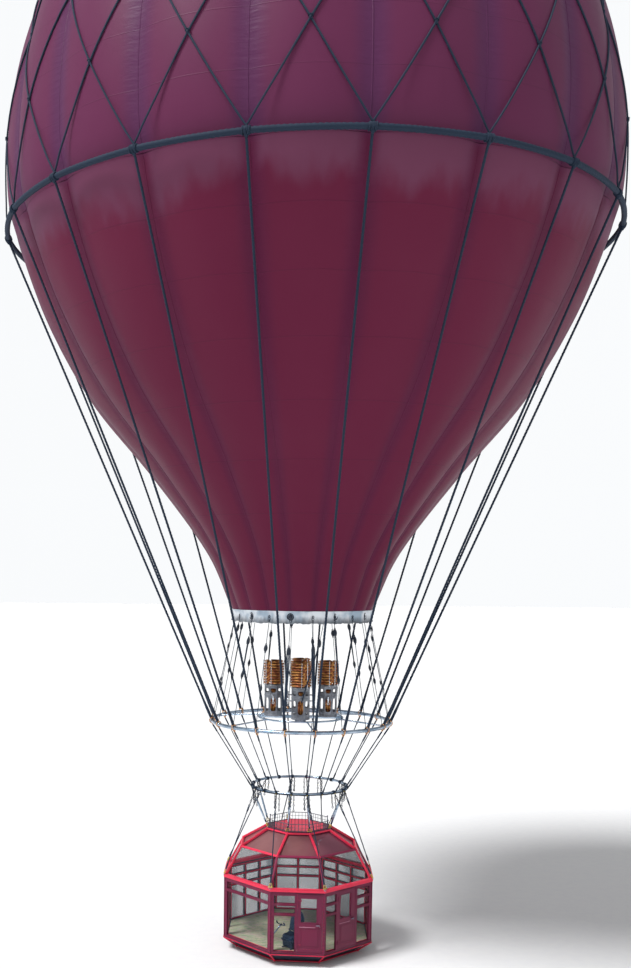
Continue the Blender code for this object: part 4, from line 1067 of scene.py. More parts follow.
def makeBurners():
    # Four eight-sided cans of holed plates, each with nozzles, valves and a coil wound in two halves.
    bodies, nozzles, coils, rods = Pile(), Pile(), Pile(), Pile()
    half = burner["face"] * math.tan(math.pi / 8)
    for index in range(4):
        centre = around(burner["pitch"], index * math.pi / 2, burner["base"])
        for k in range(8):
            azimuth = k * math.pi / 4
            out, right = outAndSide(azimuth)
            move = np.eye(4)
            move[:3] = np.column_stack([right, -out, up, centre + burner["face"] * out])
            wide = 0.072 if k % 2 else 0.088
            bodies.add(*holedPlate(half, 0.05, 0.70, wide, 0.17, 0.62, 0.02), move)
            bodies.add(*holedPlate(half, 0.70, 1.02, wide, 0.79, 0.93, 0.02), move)
            edge = centre + burner["edge"] * around(1.0, azimuth + math.pi / 8, 0.0)
            bodies.add(*bar(edge + up * 0.03, edge + up * 1.03, 0.014, 8))
            for level in (0.115, 0.735, 0.985):
                bodies.add(*rivet(centre + 0.287 * out + up * level, out, 0.013, 6))
        for low, high, reach in ((0.0, 0.055, 0.298), (0.685, 0.715, 0.300), (1.0, 1.058, 0.299)):
            bodies.add(*turned([(0.18, low), (reach, low), (reach + 0.008, low + 0.008),
                    (reach + 0.008, high - 0.008),
                                (reach, high), (0.18, high)], 48, centre, True))
        for k in range(4):
            azimuth = (k + 0.5) * math.pi / 2
            nozzle = centre + burner["nozzle"] * around(1.0, azimuth, 0.0)
            nozzles.add(*turned([(0.028, 0.06), (0.045, 0.10), (0.045, 0.34), (0.060, 0.38),
                    (0.060, 0.46), (0.036, 0.52),
                                 (0.036, 0.66), (0.018, 0.70)], 16, nozzle))
        nozzles.add(*turned([(0.05, 0.02), (0.12, 0.05), (0.12, 0.10), (0.07, 0.14), (0.055, 0.80),
                (0.14, 0.90), (0.16, 0.95), (0.04, 0.96)], 24, centre))
        outer, across = outAndSide(index * math.pi / 2)
        for sign in (-1, 1):
            base = centre + sign * across * 0.27 + up * 0.60
            rods.add(*bar(base, base + sign * across * 0.20,
                    [0.030, 0.030, 0.022, 0.022, 0.034, 0.034], 14, 6))
            valve = base + sign * across * 0.15
            rods.add(*bar(valve - up * 0.10, valve + up * 0.09, 0.018, 10))
            rods.add(*blob(valve + up * 0.10, (outer, across, up), (0.035, 0.035, 0.02), 5, 10))
            rods.add(*loop(valve - up * 0.13, up, outer, 0.035, 0.009, 12, 6))
        low = burner["height"] + 0.03
        pitch = burner["coilHeight"] / burner["turns"]
        slot = math.radians(burner["slots"][index])
        gap = math.radians(burner["slotHalf"])
        other = math.pi - slot if slot > 0 else -math.pi - slot
        first, last = min(slot, other), max(slot, other)
        for start, end in ((first + gap, last - gap), (last + gap, first + tau - gap)):
            turns = []
            bend = np.linspace(0.25, math.pi - 0.25, 5)
            for level in range(burner["turns"]):
                shrink = 1 - 0.10 * max(0, level - 7) - 0.012 * (level % 2)
                count = max(8, int((end - start) * 9))
                sweep = np.linspace(start, end, count)
                z = low + pitch * (level + 0.25)
                if level % 2:
                    sweep = sweep[::-1]
                turns.append(around(burner["coil"] * shrink, sweep, z))
                if level < burner["turns"] - 1:
                    sign = 1 if level % 2 == 0 else -1
                    turns.append(around(burner["coil"] * shrink,
                            sweep[-1] + sign * np.sin(bend) * pitch / 2 / burner["coil"],
                                        z + pitch / 2 * (1 - np.cos(bend))))
            path = centre * [1, 1, 0] + [0, 0, burner["base"]] + np.concatenate(turns)
            coils.add(*tube(path, burner["coilTube"], 8, unit((path - centre) * [1, 1, 0])))
            for azimuth in (start + 0.12, (start + end) / 2, end - 0.12):
                out = around(1.0, azimuth, 0.0)
                rod = around(burner["coil"] + burner["coilTube"] - 0.004, azimuth, 0.0) + centre
                rods.add(*bar(rod + up * (low - 0.06),
                        rod + up * (low + burner["coilHeight"] - 0.03), 0.010, 8))
                for level in range(burner["turns"]):
                    rods.add(*rivet(rod + up * (low + pitch * (level + 0.25)) + 0.008 * out, out, 0.012, 6))
    made = bodies.piece("burnerBodies", looks["burner"], "burner_steel")
    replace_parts(made, *[f"burner_body_{i}" for i in (1, 2, 3, 4)])
    nozzles.piece("burnerNozzles", looks["copper"], "coil_copper")
    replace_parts(coils.piece("burnerCoils", looks["copper"], "coil_copper"),
            *[f"burner_coil_{i}" for i in (1, 2, 3, 4)])
    rods.piece("burnerRods", looks["bright"], "ring_steel")


makeRing("burnerRingTube", rope["ringA"], rope["ringTube"], rope["ringZ"], "burner_ring", seams)
makeFrame()
makeBurners()


print("stage: load ring and slings")

sling = {"ring": 1.568, "tube": 0.042, "z": -17.547, "rope": 0.018, "lean": math.radians(25), "chain": 8,
         "bite": 0.0006, "chainEnd": 0.62, "ropeEnd": 0.16, "pitch": 0.17,
         "long": ((-63, 7), (-27, 0), (9, 1), (45, 2)), "short": ((-81, 7), (-9, 0), (9, 1), (63, 2))}
cabin = {"halfFront": 0.861, "frontY": 2.342, "sideX": 2.431, "halfSide": 0.809, "floor": -22.575,
         "wallTop": -20.555, "rail": -20.455, "eave": -19.541, "eaveScale": 0.78, "deck": -18.985,
         "deckTop": -18.9347, "deckScale": 0.423, "base": -22.985, "baseScale": 0.82,
         "transoms": (-20.97, -21.30), "transom": 0.055, "sill": 0.045, "header": 0.11, "post": 0.055,
         "corner": 0.10, "doorWidth": 0.80, "doorHead": -20.59, "doors": (0.86, 0.617)}


def octagon(scale, inset, z):
    # The cabin's eight corners, counted from the front's left one; inset moves each side inwards.
    quarter = np.array([(-cabin["halfFront"], -cabin["frontY"]), (cabin["halfFront"], -cabin["frontY"]),
                        (cabin["sideX"], -cabin["halfSide"]), (cabin["sideX"], cabin["halfSide"])]) * scale
    corner = np.concatenate([quarter, -quarter])
    along = unit(np.roll(corner, -1, 0) - corner)
    point = corner + inset * np.stack([-along[:, 1], along[:, 0]], -1)
    before, turn = np.roll(point, 1, 0), np.roll(along, 1, 0)
    cross = turn[:, 0] * along[:, 1] - turn[:, 1] * along[:, 0]
    off = point - before
    reach = (off[:, 0] * along[:, 1] - off[:, 1] * along[:, 0]) / cross
    return np.column_stack([before + turn * reach[:, None], np.full(8, z)])


def side(index):
    # One side's first corner, direction, inward normal and length.
    corner = octagon(1.0, 0.0, 0.0)
    run = corner[(index + 1) % 8] - corner[index]
    along = unit(run)
    return corner[index], along, np.array([-along[1], along[0], 0.0]), float(np.linalg.norm(run))


def sideFrame(index):
    # From (along, inward, up) on a side to the balloon's frame.
    start, along, inward, _ = side(index)
    return frameOf(start, along, inward)


def chain(pile, start, end, links, size, thick):
    # Oval links from start to end, each turned a quarter from the last.
    along = unit(end - start)
    helper = unit(np.cross(along, [0.3, 0.9, 0.1]))
    other = np.cross(along, helper)
    for i in range(links):
        centre = start + (end - start) * (i + 0.5) / links
        pile.add(*loop(centre, along, helper if i % 2 else other, size * 0.55, thick, 14, 5, 1.75))


def makeSlings():
    # The rope under the load ring, its risers up to the burner ring, and the slings with chains to the cabin.
    loopReach = sling["tube"] + sling["rope"] - sling["bite"]
    radius = sling["ring"] + loopReach * math.cos(sling["lean"])
    z = sling["z"] - loopReach * math.sin(sling["lean"])
    ropes, steel, brass, chains = Pile(), Pile(), Pile(), Pile()
    ropes.add(*tube(around(radius, tau * np.arange(420) / 420, z), sling["rope"], 9, closed=True, lobes=3,
            depth=0.15, twist=tau * 52))
    for azimuth in seams:
        out, right = outAndSide(azimuth)
        low = radius * out + up * z
        high = rope["ringA"] * out + up * (rope["ringZ"] - 0.10)
        ropes.add(*tube(low + np.linspace(0, 1, 60)[:, None] * (high - low), sling["rope"] * 0.95, 6, right,
                lobes=3, depth=0.12, twist=tau * 20))
        down = unit(low - high)
        ropes.add(*bar(high + down * 0.05, high + down * 0.30, [0.026] * 4, 8, 4))
        ropes.add(*bar(low - down * 0.05, low - down * 0.26, [0.025] * 4, 8, 4))
        for shift in (-0.03, 0.0, 0.03):
            ropes.add(*loop(sling["ring"] * out + right * shift + up * sling["z"], out, up,
                    sling["tube"] + 0.012, 0.013, 14, 5))
        brass.add(*rivet(low + out * 0.02, out, 0.018, 8))
    corners = {"long": octagon(1.0, -0.02, cabin["rail"] + 0.0003),
            "short": octagon(cabin["deckScale"], 0.0, cabin["deckTop"] + 0.0003)}
    for kind in ("long", "short"):
        for degrees, number in sling[kind]:
            for turn in (0, 1):
                azimuth = math.radians(degrees + 180 * turn)
                out = around(1.0, azimuth, 0.0)
                start = radius * out + up * z
                foot = corners[kind][(number + 4 * turn) % 8] + up * 0.018
                run = foot - start
                along, length = unit(run), float(np.linalg.norm(run))
                right = unit(np.cross(along, up + 0.01 * out))
                first = start + along * sling["chainEnd"]
                chain(chains, start + along * 0.03, first, sling["chain"], 0.046, 0.011)
                for extra in (-0.05, 0.05):
                    hang = sling["ring"] * around(1.0, azimuth + extra, 0.0) + up * (sling["z"] - 0.05)
                    chain(chains, hang, hang - up * (0.42 + 0.8 * extra) + along * 0.10, 6, 0.040, 0.010)
                    brass.add(*rivet(hang - up * 0.2, out, 0.016, 6))
                last = foot - along * sling["ropeEnd"]
                path = first + np.linspace(0, 1, int(length * 24))[:, None] * (last - first)
                ropes.add(*tube(path, sling["rope"] * 0.98, 7, right, lobes=3, depth=0.13,
                        twist=tau * (length - 0.8) / sling["pitch"]))
                for spot, way in ((first, 1), (last, -1)):
                    ropes.add(*bar(spot, spot + way * along * 0.22, [0.028, 0.028, 0.028, 0.020], 8, 4))
                    steel.add(*loop(spot, along, right, 0.026, 0.009, 12, 5, 1.4))
                if kind == "short":
                    body = foot - along * 1.02
                    steel.add(*bar(foot - along * 0.22, body,
                            [0.016, 0.034, 0.034, 0.034, 0.034, 0.016], 12, 6))
                    for share in (0.25, 0.97):
                        steel.add(*bar(foot - along * share, foot - along * (share + 0.05), 0.040, 6))
                brass.add(*loop(foot - along * 0.085, along, right, 0.045, 0.014, 16, 7, 1.35))
                left, pin = foot - along * 0.03 - right * 0.06, foot - along * 0.03 + right * 0.06
                brass.add(*bar(left, pin, 0.016, 10))
                brass.add(*rivet(pin, right, 0.024, 6)).add(*rivet(left, -right, 0.024, 6))
                steel.add(*loop(foot, right, along, 0.040, 0.013, 14, 6))
    made = ropes.piece("risersAndSlings", looks["rope"], "rope_navy")
    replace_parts(made, "risers_and_slings")
    steel.piece("slingSteel", looks["steel"], "ring_steel")
    brass.piece("slingShackles", looks["yellow"], "coil_copper")
    chains.piece("slingChains", looks["block"], "ring_steel")


makeRing("loadRingTube", sling["ring"], sling["tube"], sling["z"], "load_ring", [])
makeSlings()

print("stage: cabin")


def transoms(index):
    # The heights of a side's transoms; the last side has only one.
    return cabin["transoms"][:1] if index == 7 else cabin["transoms"]


def paneBoxes(index):
    # Each opening of a side as (u0, u1, z0, z1), window column by window column.
    length = side(index)[3]
    if index == 0:
        columns = [(0.10, 0.79)]
    elif index == 1:
        columns = [(0.065, 0.547), (1.487, length - 0.10)]
    else:
        count = {2: 2, 3: 3, 4: 2, 5: 3, 6: 2, 7: 1}[index]
        width = (length - 2 * cabin["corner"] - (count - 1) * cabin["post"]) / count
        starts = [cabin["corner"] + i * (width + cabin["post"]) for i in range(count)]
        columns = [(u, u + width) for u in starts]
    levels = [cabin["floor"] + cabin["sill"]]
    for z in sorted(transoms(index)):
        levels += [z - cabin["transom"] / 2, z + cabin["transom"] / 2]
    levels.append(cabin["wallTop"] - cabin["header"])
    return [(u0, u1, levels[i], levels[i + 1]) for u0, u1 in columns for i in range(0, len(levels), 2)]


def beadFrame(pile, box, near, far, wide, move, edge=0.003):
    # Four mitre-less bars round an opening, on its inside edge.
    u0, u1, z0, z1 = box
    for low, high in (((u0, near, z0), (u1, far, z0 + wide)), ((u0, near, z1 - wide), (u1, far, z1)),
                      ((u0, near, z0 + wide), (u0 + wide, far, z1 - wide)),
                      ((u1 - wide, near, z0 + wide), (u1, far, z1 - wide))):
        pile.box(low, high, edge, move)


def rivetRow(pile, start, end, out, gap=0.085, radius=0.0075):
    # Rivets spread evenly from start to end, about a gap apart.
    start, end = np.asarray(start, float), np.asarray(end, float)
    count = max(2, int(np.linalg.norm(end - start) / gap))
    for share in (np.arange(count) + 0.5) / count:
        pile.add(*rivet(start + share * (end - start), out, radius))


def innerStrips(pile, rivets, index, spans, place, move):
    # Riveted strips that hold the glass from inside, along the sill, the transoms and between the columns.
    near, far = 0.0772, 0.088
    boxes = paneBoxes(index)
    levels = [cabin["floor"] + 0.055, *transoms(index)]
    for u0, u1 in spans:
        u0, u1 = u0 + (0.07 if u0 < 0.1 else 0.03), u1 - 0.07
        if u1 - u0 < 0.12:
            continue
        for z in levels + [cabin["wallTop"] - 0.08]:
            pile.box((u0, near, z - 0.022), (u1, far, z + 0.022), 0.003, move)
            rivetRow(rivets, place(u0, far, z), place(u1, far, z), side(index)[2], 0.11, 0.011)
    ends = sorted({round(u, 4) for box in boxes for u in box[:2]})
    posts = [(a + b) / 2 for a, b in zip(ends[1:-1:2], ends[2::2]) if b - a < 0.2]
    for u in posts + ([0.092, side(index)[3] - 0.092] if index > 1 else []):
        pile.box((u - 0.020, near, levels[0] + 0.022),
                (u + 0.020, far - 0.002, cabin["wallTop"] - 0.10), 0.003, move)


def makeWallTrim():
    # Glazing beads, gaskets, drip rails and rivets on all eight sides.
    trim, gasket, rivets, inside = Pile(), Pile(), Pile(), Pile()
    for index in range(8):
        start, along, inward, length = side(index)
        move = sideFrame(index)
        place = lambda u, depth, z: start + along * u + inward * depth + np.array([0, 0, z])
        boxes = paneBoxes(index)
        for box in boxes:
            beadFrame(trim, box, -0.007, 0.012, 0.016, move)
            beadFrame(trim, box, 0.044, 0.0698, 0.016, move)
            beadFrame(gasket, (box[0] + 0.014, box[1] - 0.014, box[2] + 0.014, box[3] - 0.014), 0.052,
                    0.0695, 0.008, move, 0.002)
        doors = None
        if index < 2:
            doors = cabin["doors"][index] - 0.012, cabin["doors"][index] + cabin["doorWidth"] + 0.012
        spans = [(0.03, length - 0.03)]
        if doors is not None:
            spans = [(0.03, doors[0] - 0.02), (doors[1] + 0.02, length - 0.03)]
        for u0, u1 in spans:
            if u1 - u0 < 0.12:
                continue
            for z in transoms(index):
                trim.box((u0, -0.010, z - 0.010), (u1, 0.0, z + 0.010), 0.003, move)
                rivetRow(rivets, place(u0, -0.002, z + 0.019), place(u1, -0.002, z + 0.019), -inward)
            trim.box((u0, -0.014, cabin["floor"] + 0.008), (u1, 0.0, cabin["floor"] + 0.026), 0.004, move)
            rivetRow(rivets, place(u0, -0.002, cabin["floor"] + 0.036),
                    place(u1, -0.002, cabin["floor"] + 0.036), -inward)
        high = cabin["wallTop"] - cabin["header"]
        trim.box((0.02, -0.016, cabin["wallTop"] - 0.024),
                (length - 0.02, 0.0, cabin["wallTop"] - 0.004), 0.004, move)
        if doors is None:
            rivetRow(rivets, place(0.05, -0.002, high + 0.05),
                    place(length - 0.05, -0.002, high + 0.05), -inward, 0.10)
        else:
            trim.box((doors[0] + 0.03, -0.034, cabin["doorHead"] + 0.012),
                    (doors[1] - 0.03, 0.0, cabin["doorHead"] + 0.030), 0.004, move)
        innerStrips(inside, rivets, index, spans, place, move)
        for u in (0.028, length - 0.028):
            rivetRow(rivets, place(u, -0.002, cabin["floor"] + 0.06), place(u, -0.002, high), -inward, 0.12)
        edge = start + unit(np.array([start[0], start[1], 0])) * 0.004
        trim.add(*bar(edge + [0, 0, cabin["floor"] + 0.01],
                edge + [0, 0, cabin["wallTop"] - 0.01], 0.020, 12))
    trim.piece("wallTrim", looks["red"], "cabin_red")
    # Painted light: the inner strips take the paler copy of the paint so that they read bright in the cabin's
    # shade.
    inside.piece("innerStrips", looks["redPaintedLight"], "cabin_red")
    gasket.piece("paneGaskets", looks["gasket"], "cabin_red")
    # Painted highlight: the rivets take the paler paint, standing for dotted highlights along the rails.
    rivets.piece("wallRivets", looks["redPaintedLight"], "cabin_red")


def roofFace(eave, deck, k):
    # The outward normal of the roof between two corners of eave and deck.
    face = unit(np.cross(eave[(k + 1) % 8] - eave[k], deck[k] - eave[k]))
    return face if face[2] > 0 else -face


def makeUpperFrame():
    # Belt rail, sloping posts, eave, ribs and deck edge as chamfered beams, with round joints and rivets.
    beams, posts, rivets = Pile(), Pile(), Pile()
    foot, eave = octagon(1.0, 0.03, cabin["rail"] - 0.035), octagon(cabin["eaveScale"], 0.0, cabin["eave"])
    deck = octagon(cabin["deckScale"], 0.0, cabin["deck"])
    outer, inner = octagon(1.0, -0.035, 0.0), octagon(1.0, 0.105, 0.0)
    low, high = cabin["wallTop"] + 0.0003, cabin["rail"]
    loops = []
    for ringPoints, z, inset in ((outer, low, 0.006), (outer, low + 0.006, 0.0), (outer, high - 0.006, 0.0),
                                 (outer, high, 0.006), (inner, high, -0.006), (inner, high - 0.006, 0.0),
                                 (inner, low + 0.006, 0.0), (inner, low, -0.006)):
        points = ringPoints * (1 - inset / 2.4)
        points[:, 2] = z
        loops.append(points)
    beams.add(np.concatenate(loops), grid(8, 8, True, True))
    for k in range(8):
        m = (k + 1) % 8
        out = unit(eave[k] * [1, 1, 0])
        middle = unit((foot[k] + foot[m]) * [1, 1, 0])
        # Painted light and shade: posts and eaves at corners and sides 0, 1, 4 and 5 take the darker copy of
        # the paint, the others the paler one.
        shadedOrLitPile = posts if k in (0, 1, 4, 5) else beams
        shadedOrLitPile.add(*beam(foot[k], eave[k], 0.070, 0.062, out))
        beams.add(*beam(eave[k], deck[k], 0.070, 0.062, out + up))
        shadedOrLitPile.add(*beam(eave[k], eave[m], 0.070, 0.066, middle + 0.6 * up))
        beams.add(*beam(deck[k], deck[m], 0.070, 0.066, middle + 0.6 * up))
        beams.add(*beam(eave[k] + 0.040 * (out + up) / 1.41, deck[k] + 0.040 * (out + up) / 1.41, 0.026,
                0.014, out + up, 0.003))
        for spot, size in ((foot[k], 0.055), (eave[k], 0.052), (deck[k], 0.050)):
            beams.add(*blob(spot, (*outAndSide(0.0), up), (size, size, size), 7, 12))
        beams.add(*beam(outer[k] * 0.999 + up * (high + 0.004), outer[m] * 0.999 + up * (high + 0.004),
                0.030, 0.012, up, 0.003))
        railOut = -side(k)[2]
        rivetRow(rivets, outer[k] + (outer[m] - outer[k]) * 0.03 + up * (low + 0.05),
                outer[m] + (outer[k] - outer[m]) * 0.03 + up * (low + 0.05), railOut, 0.11, 0.009)
        face = roofFace(eave, deck, k)
        rivetRow(rivets, eave[k] + 0.03 * face, eave[m] + 0.03 * face, unit(face + middle), 0.10)
        rivetRow(rivets, eave[k] + (deck[k] - eave[k]) * 0.06 + 0.044 * out + 0.040 * up,
                 deck[k] + 0.044 * out + 0.040 * up - (deck[k] - eave[k]) * 0.06, out + up, 0.12)
    # Painted light: the belt rail, ribs, eaves and deck edge take the paler copy of the paint, as if lit from
    # above; the frame rivets take it as dotted painted highlights.
    made = beams.piece("upperFrameBeams", looks["redPaintedLight"], "cabin_red")
    posts.piece("upperFramePosts", looks["redPaintedShade"], "cabin_red")
    rivets.piece("frameRivets", looks["redPaintedLight"], "cabin_red")
    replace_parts(made, "upper_frame")


def makeDeck():
    # Screwed slats across the roof deck, as long as the deck is wide at each.
    pile, screws = Pile(), Pile()
    inner = octagon(cabin["deckScale"], 0.085, 0.0)
    top = cabin["deckTop"]
    for x in np.arange(-0.84, 0.85, 0.12):
        corner = inner[np.argsort(np.arctan2(inner[:, 1], inner[:, 0]))]
        after = np.roll(corner, -1, 0)
        reach = []
        for edge in (x, x + 0.104):
            cross = (corner[:, 0] - edge) * (after[:, 0] - edge) <= 0
            a, b = corner[cross], after[cross]
            if len(a):
                reach.append(np.abs(a[:, 1] + (edge - a[:, 0]) / np.where(b[:, 0] == a[:, 0], 1e-9,
                        b[:, 0] - a[:, 0]) * (b[:, 1] - a[:, 1])).min())
        if len(reach) < 2 or min(reach) < 0.08:
            continue
        depth = min(reach)
        pile.box((x, -depth, top + 0.0004), (x + 0.104, depth, top + 0.016), 0.005)
        for y in (-depth + 0.05, 0.0, depth - 0.05):
            for dx in (0.025, 0.079):
                screws.add(*rivet((x + dx, y, top + 0.0165), (0, 0, 1), 0.008))
    # Painted sunlight: the slats take the paler copy of the paint.
    pile.piece("deckSlats", looks["redPaintedLight"], "cabin_red")
    screws.piece("deckScrews", looks["bright"], "ring_steel")


def makeRailing():
    # Low railing: round posts about every tenth of a metre between two rails, taller posts at its corners.
    pile = Pile()
    low, high = cabin["deckTop"] + 0.0125, cabin["deckTop"] + 0.25
    foot, head = octagon(cabin["deckScale"], 0.06, low), octagon(cabin["deckScale"], 0.06, high)
    for k in range(8):
        m = (k + 1) % 8
        pile.add(*bar(head[k], head[m], 0.012, 10)).add(*bar(foot[k], foot[m], 0.010, 8))
        pile.add(*bar((head[k] + foot[k]) / 2, (head[m] + foot[m]) / 2, 0.0065, 8))
        count = max(2, int(np.linalg.norm(head[m] - head[k]) / 0.105))
        for share in np.arange(1, count) / count:
            pile.add(*bar(foot[k] + share * (foot[m] - foot[k]),
                    head[k] + share * (head[m] - head[k]), 0.0065, 8))
        pile.add(*bar(foot[k] - up * 0.010, head[k] + up * 0.02, 0.016, 12))
        pile.add(*blob(head[k] + up * 0.03, (up, np.roll(up, 1), np.roll(up, 2)),
                (0.026, 0.026, 0.026), 6, 10))
        pile.add(*turned([(0.04, low - 0.012), (0.04, low - 0.004), (0.022, low + 0.004)], 14,
                foot[k] * [1, 1, 0]))
    made = pile.piece("deckRailing", looks["rail"], "railing_steel")
    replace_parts(made, "roof_railing")


def makeBase():
    # Bright rim beads and rivets on the base frame, strips on the skirt, and the carpet's edge.
    pile, rim, rivets, edge, dark = Pile(), Pile(), Pile(), Pile(), Pile()
    low = octagon(cabin["baseScale"], -0.034, cabin["base"] + 0.026)
    high = octagon(1.0, -0.034, cabin["floor"] - 0.045)
    bind = octagon(1.0, 0.115, cabin["floor"] + 0.040)
    for k in range(8):
        m = (k + 1) % 8
        out = -side(k)[2]
        for loopPoints, bead in ((low, pile), (high, rim)):
            bead.add(*beam(loopPoints[k], loopPoints[m], 0.022, 0.014, out, 0.003))
            rivetRow(rivets, loopPoints[k] + 0.008 * out, loopPoints[m] + 0.008 * out, out, 0.10, 0.008)
        pile.add(*beam(low[k], high[k], 0.03, 0.02, unit(low[k] * [1, 1, 0]), 0.004))
        pile.add(*blob(low[k], (out, np.cross(up, out), up), (0.035, 0.035, 0.035), 6, 10))
        edge.add(*bar(bind[k], bind[m], 0.012, 8))
        face = octagon(cabin["baseScale"], 0.090, cabin["base"]), octagon(1.0, 0.055, cabin["floor"] - 0.06)
        for share in (0.35, 0.7):
            a, b = (face[0][i] + share * (face[1][i] - face[0][i]) for i in (k, m))
            dark.add(*beam(a, b, 0.020, 0.012, out - 0.6 * up, 0.003))
    # Painted light: the base rim and its rivets take the paler copy of the paint, though they face down into
    # shade.
    pile.piece("baseRim", looks["redPaintedLight"], "cabin_red")
    # Painted light: the floor rim takes the half-lit copy of the paint.
    rim.piece("floorRim", looks["redPaintedHalfLight"], "cabin_red")
    rivets.piece("baseRivets", looks["redPaintedLight"], "cabin_red")
    edge.piece("carpetBinding", looks["leather"], "floor_khaki")
    dark.piece("skirtStrips", looks["skirt"], "skirt_navy")


def makeDoorTrim(name, index, body):
    # On the leaf: window beads, a raised lower panel, kick plate, ledge, lever handle and hinge straps.
    start, along, inward, _ = side(index)
    width = cabin["doorWidth"] - 0.012
    height = cabin["doorHead"] - cabin["floor"] - cabin["sill"] - 0.012
    foot = cabin["floor"] + cabin["sill"] + 0.006
    place = start + along * (cabin["doors"][index] + 0.006) - inward * 0.012 + [0, 0, foot]
    move = frameOf(place, along, inward)
    near, far = 0.018, 0.063
    trim, steel, rivets = Pile(), Pile(), Pile()
    window = (0.10, width - 0.18, 0.98, height - 0.16)
    border = (window[0] - 0.014, window[1] + 0.014, window[2] - 0.014, window[3] + 0.014)
    beadFrame(trim, border, near - 0.008, near, 0.020, move)
    beadFrame(trim, border, far, far + 0.008, 0.020, move)
    beadFrame(trim, (0.09, width - 0.09, 0.17, 0.80), near - 0.006, near, 0.018, move)
    beadFrame(trim, (0.09, width - 0.09, 0.17, 0.80), far, far + 0.006, 0.018, move)
    trim.box((0.14, near - 0.010, 0.22), (width - 0.14, near - 0.001, 0.75), 0.008, move)
    # Painted highlight: the ledge strip is painted pale for the light along its rounded edge.
    ledge = Pile().box((0.06, near - 0.013, 0.822), (width - 0.22, near - 0.0004, 0.846), 0.006, move)
    ledge.piece(name + "Ledge", looks["redPaintedHighlight"], "cabin_red", body)
    trim.box((0.012, near - 0.006, 0.012), (width - 0.012, near - 0.0004, 0.13), 0.004, move)
    trim.box((0.02, near - 0.014, height - 0.03), (width - 0.02, near, height - 0.012), 0.004, move)
    trim.box((width - 0.105, near - 0.007, 0.84), (width - 0.055, near - 0.0004, 0.965), 0.004, move)
    trim.box((width - 0.105, far + 0.0004, 0.84), (width - 0.055, far + 0.007, 0.965), 0.004, move)
    lever = np.array([(width - 0.08, near - 0.007, 0.915), (width - 0.08, near - 0.036, 0.915),
                      (width - 0.095, near - 0.052, 0.915), (width - 0.13, near - 0.055, 0.915),
                      (width - 0.19, near - 0.050, 0.910), (width - 0.205, near - 0.040, 0.906)])
    smooth = np.stack([np.interp(np.linspace(0, 5, 26), np.arange(6), lever[:, i]) for i in range(3)], -1)
    steel.add(*tube(smooth, np.interp(np.linspace(0, 1, 26), [0, 0.2, 0.6, 1],
            [0.012, 0.009, 0.010, 0.007]), 10), move)
    steel.add(*blob((width - 0.08, near - 0.010, 0.865), np.eye(3), (0.010, 0.006, 0.013), 5, 8), move)
    for level in (0.22, 1.66):
        trim.box((0.010, near - 0.0035, level + 0.010), (0.135, near - 0.0004, level + 0.060), 0.0015, move)
        for u in (0.045, 0.08, 0.115):
            rivets.add(*rivet((u, near - 0.004, level + 0.035), (0, -1, 0), 0.008), move)
    for u in np.linspace(0.03, width - 0.03, 9):
        rivets.add(*rivet((u, near - 0.006, 0.115), (0, -1, 0), 0.0065), move)
    trim.piece(name + "Trim", looks["red"], "cabin_red", body)
    steel.piece(name + "Handle", looks["steel"], "ring_steel", body)
    # Painted highlight: the door rivets take the paler paint.
    rivets.piece(name + "Rivets", looks["redPaintedLight"], "cabin_red", body)


def makeRoofTrim():
    # A bead all round each roof panel.
    pile = Pile()
    eave = octagon(cabin["eaveScale"], 0.0, cabin["eave"])
    deck = octagon(cabin["deckScale"], 0.0, cabin["deck"])
    for k in range(8):
        m = (k + 1) % 8
        face = roofFace(eave, deck, k)
        corners = [eave[k], eave[m], deck[m], deck[k]]
        middle = sum(corners) / 4
        inset = [c + 0.055 * unit(middle - c) - 0.031 * face for c in corners]
        for a, b in zip(inset, inset[1:] + inset[:1]):
            pile.add(*beam(a, b, 0.020, 0.016, face, 0.003))
    pile.piece("roofBeads", looks["red"], "cabin_red")


makeWallTrim()
makeUpperFrame()
makeRoofTrim()
makeDeck()
makeRailing()
makeBase()
makeDoorTrim("frontDoor", 0, "front_door_leaf")
makeDoorTrim("sideDoor", 1, "side_door_leaf")


def makeRoofPanels():
    # Eight crowned glossy panels between the ribs: a grid across four corners, lifted by a low sine cushion.
    pile = Pile()
    eave = octagon(cabin["eaveScale"], 0.0, cabin["eave"])
    deck = octagon(cabin["deckScale"], 0.0, cabin["deck"])
    for k in range(8):
        m = (k + 1) % 8
        face = roofFace(eave, deck, k)
        rise = np.linspace(0.012, 0.990, 16)[:, None, None]
        over = np.linspace(0.012, 0.988, 20)[None, :, None]
        low, high = eave[k] + over * (eave[m] - eave[k]), deck[k] + over * (deck[m] - deck[k])
        crown = 0.014 * np.sin(np.pi * rise) * np.sin(np.pi * over)
        top = low + rise * (high - low) + (crown - 0.044) * face
        under = top - 0.012 * face
        count = 16 * 20
        faces = grid(16, 20)
        rim = np.concatenate([np.arange(20), np.arange(39, count, 20), np.arange(count - 2, count - 21, -1),
                np.arange(count - 40, 19, -20)])
        skirt = np.stack([rim, rim + count, np.roll(rim, -1) + count, np.roll(rim, -1)], -1)
        pile.add(np.concatenate([top.reshape(-1, 3), under.reshape(-1, 3)]),
                np.concatenate([faces, faces[:, ::-1] + count, skirt]))
    made = pile.piece("roofPanelSheets", looks["tint"], "roof_tint")
    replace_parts(made, "roof_panels")


makeRoofPanels()

print("stage: seat and steering")

seat = {"x": -0.19, "y": -1.81, "turn": math.radians(46), "back": 0.70, "floor": -22.5395, "rails": -22.512,
        "low": -22.275, "top": -22.075, "half": 0.29, "lean": math.radians(12), "voxel": 0.015,
        "pressure": 4.0, "cap": 0.022, "frames": 20, "bolster": 0.18, "backBolster": 0.165, "tuft": 0.011}


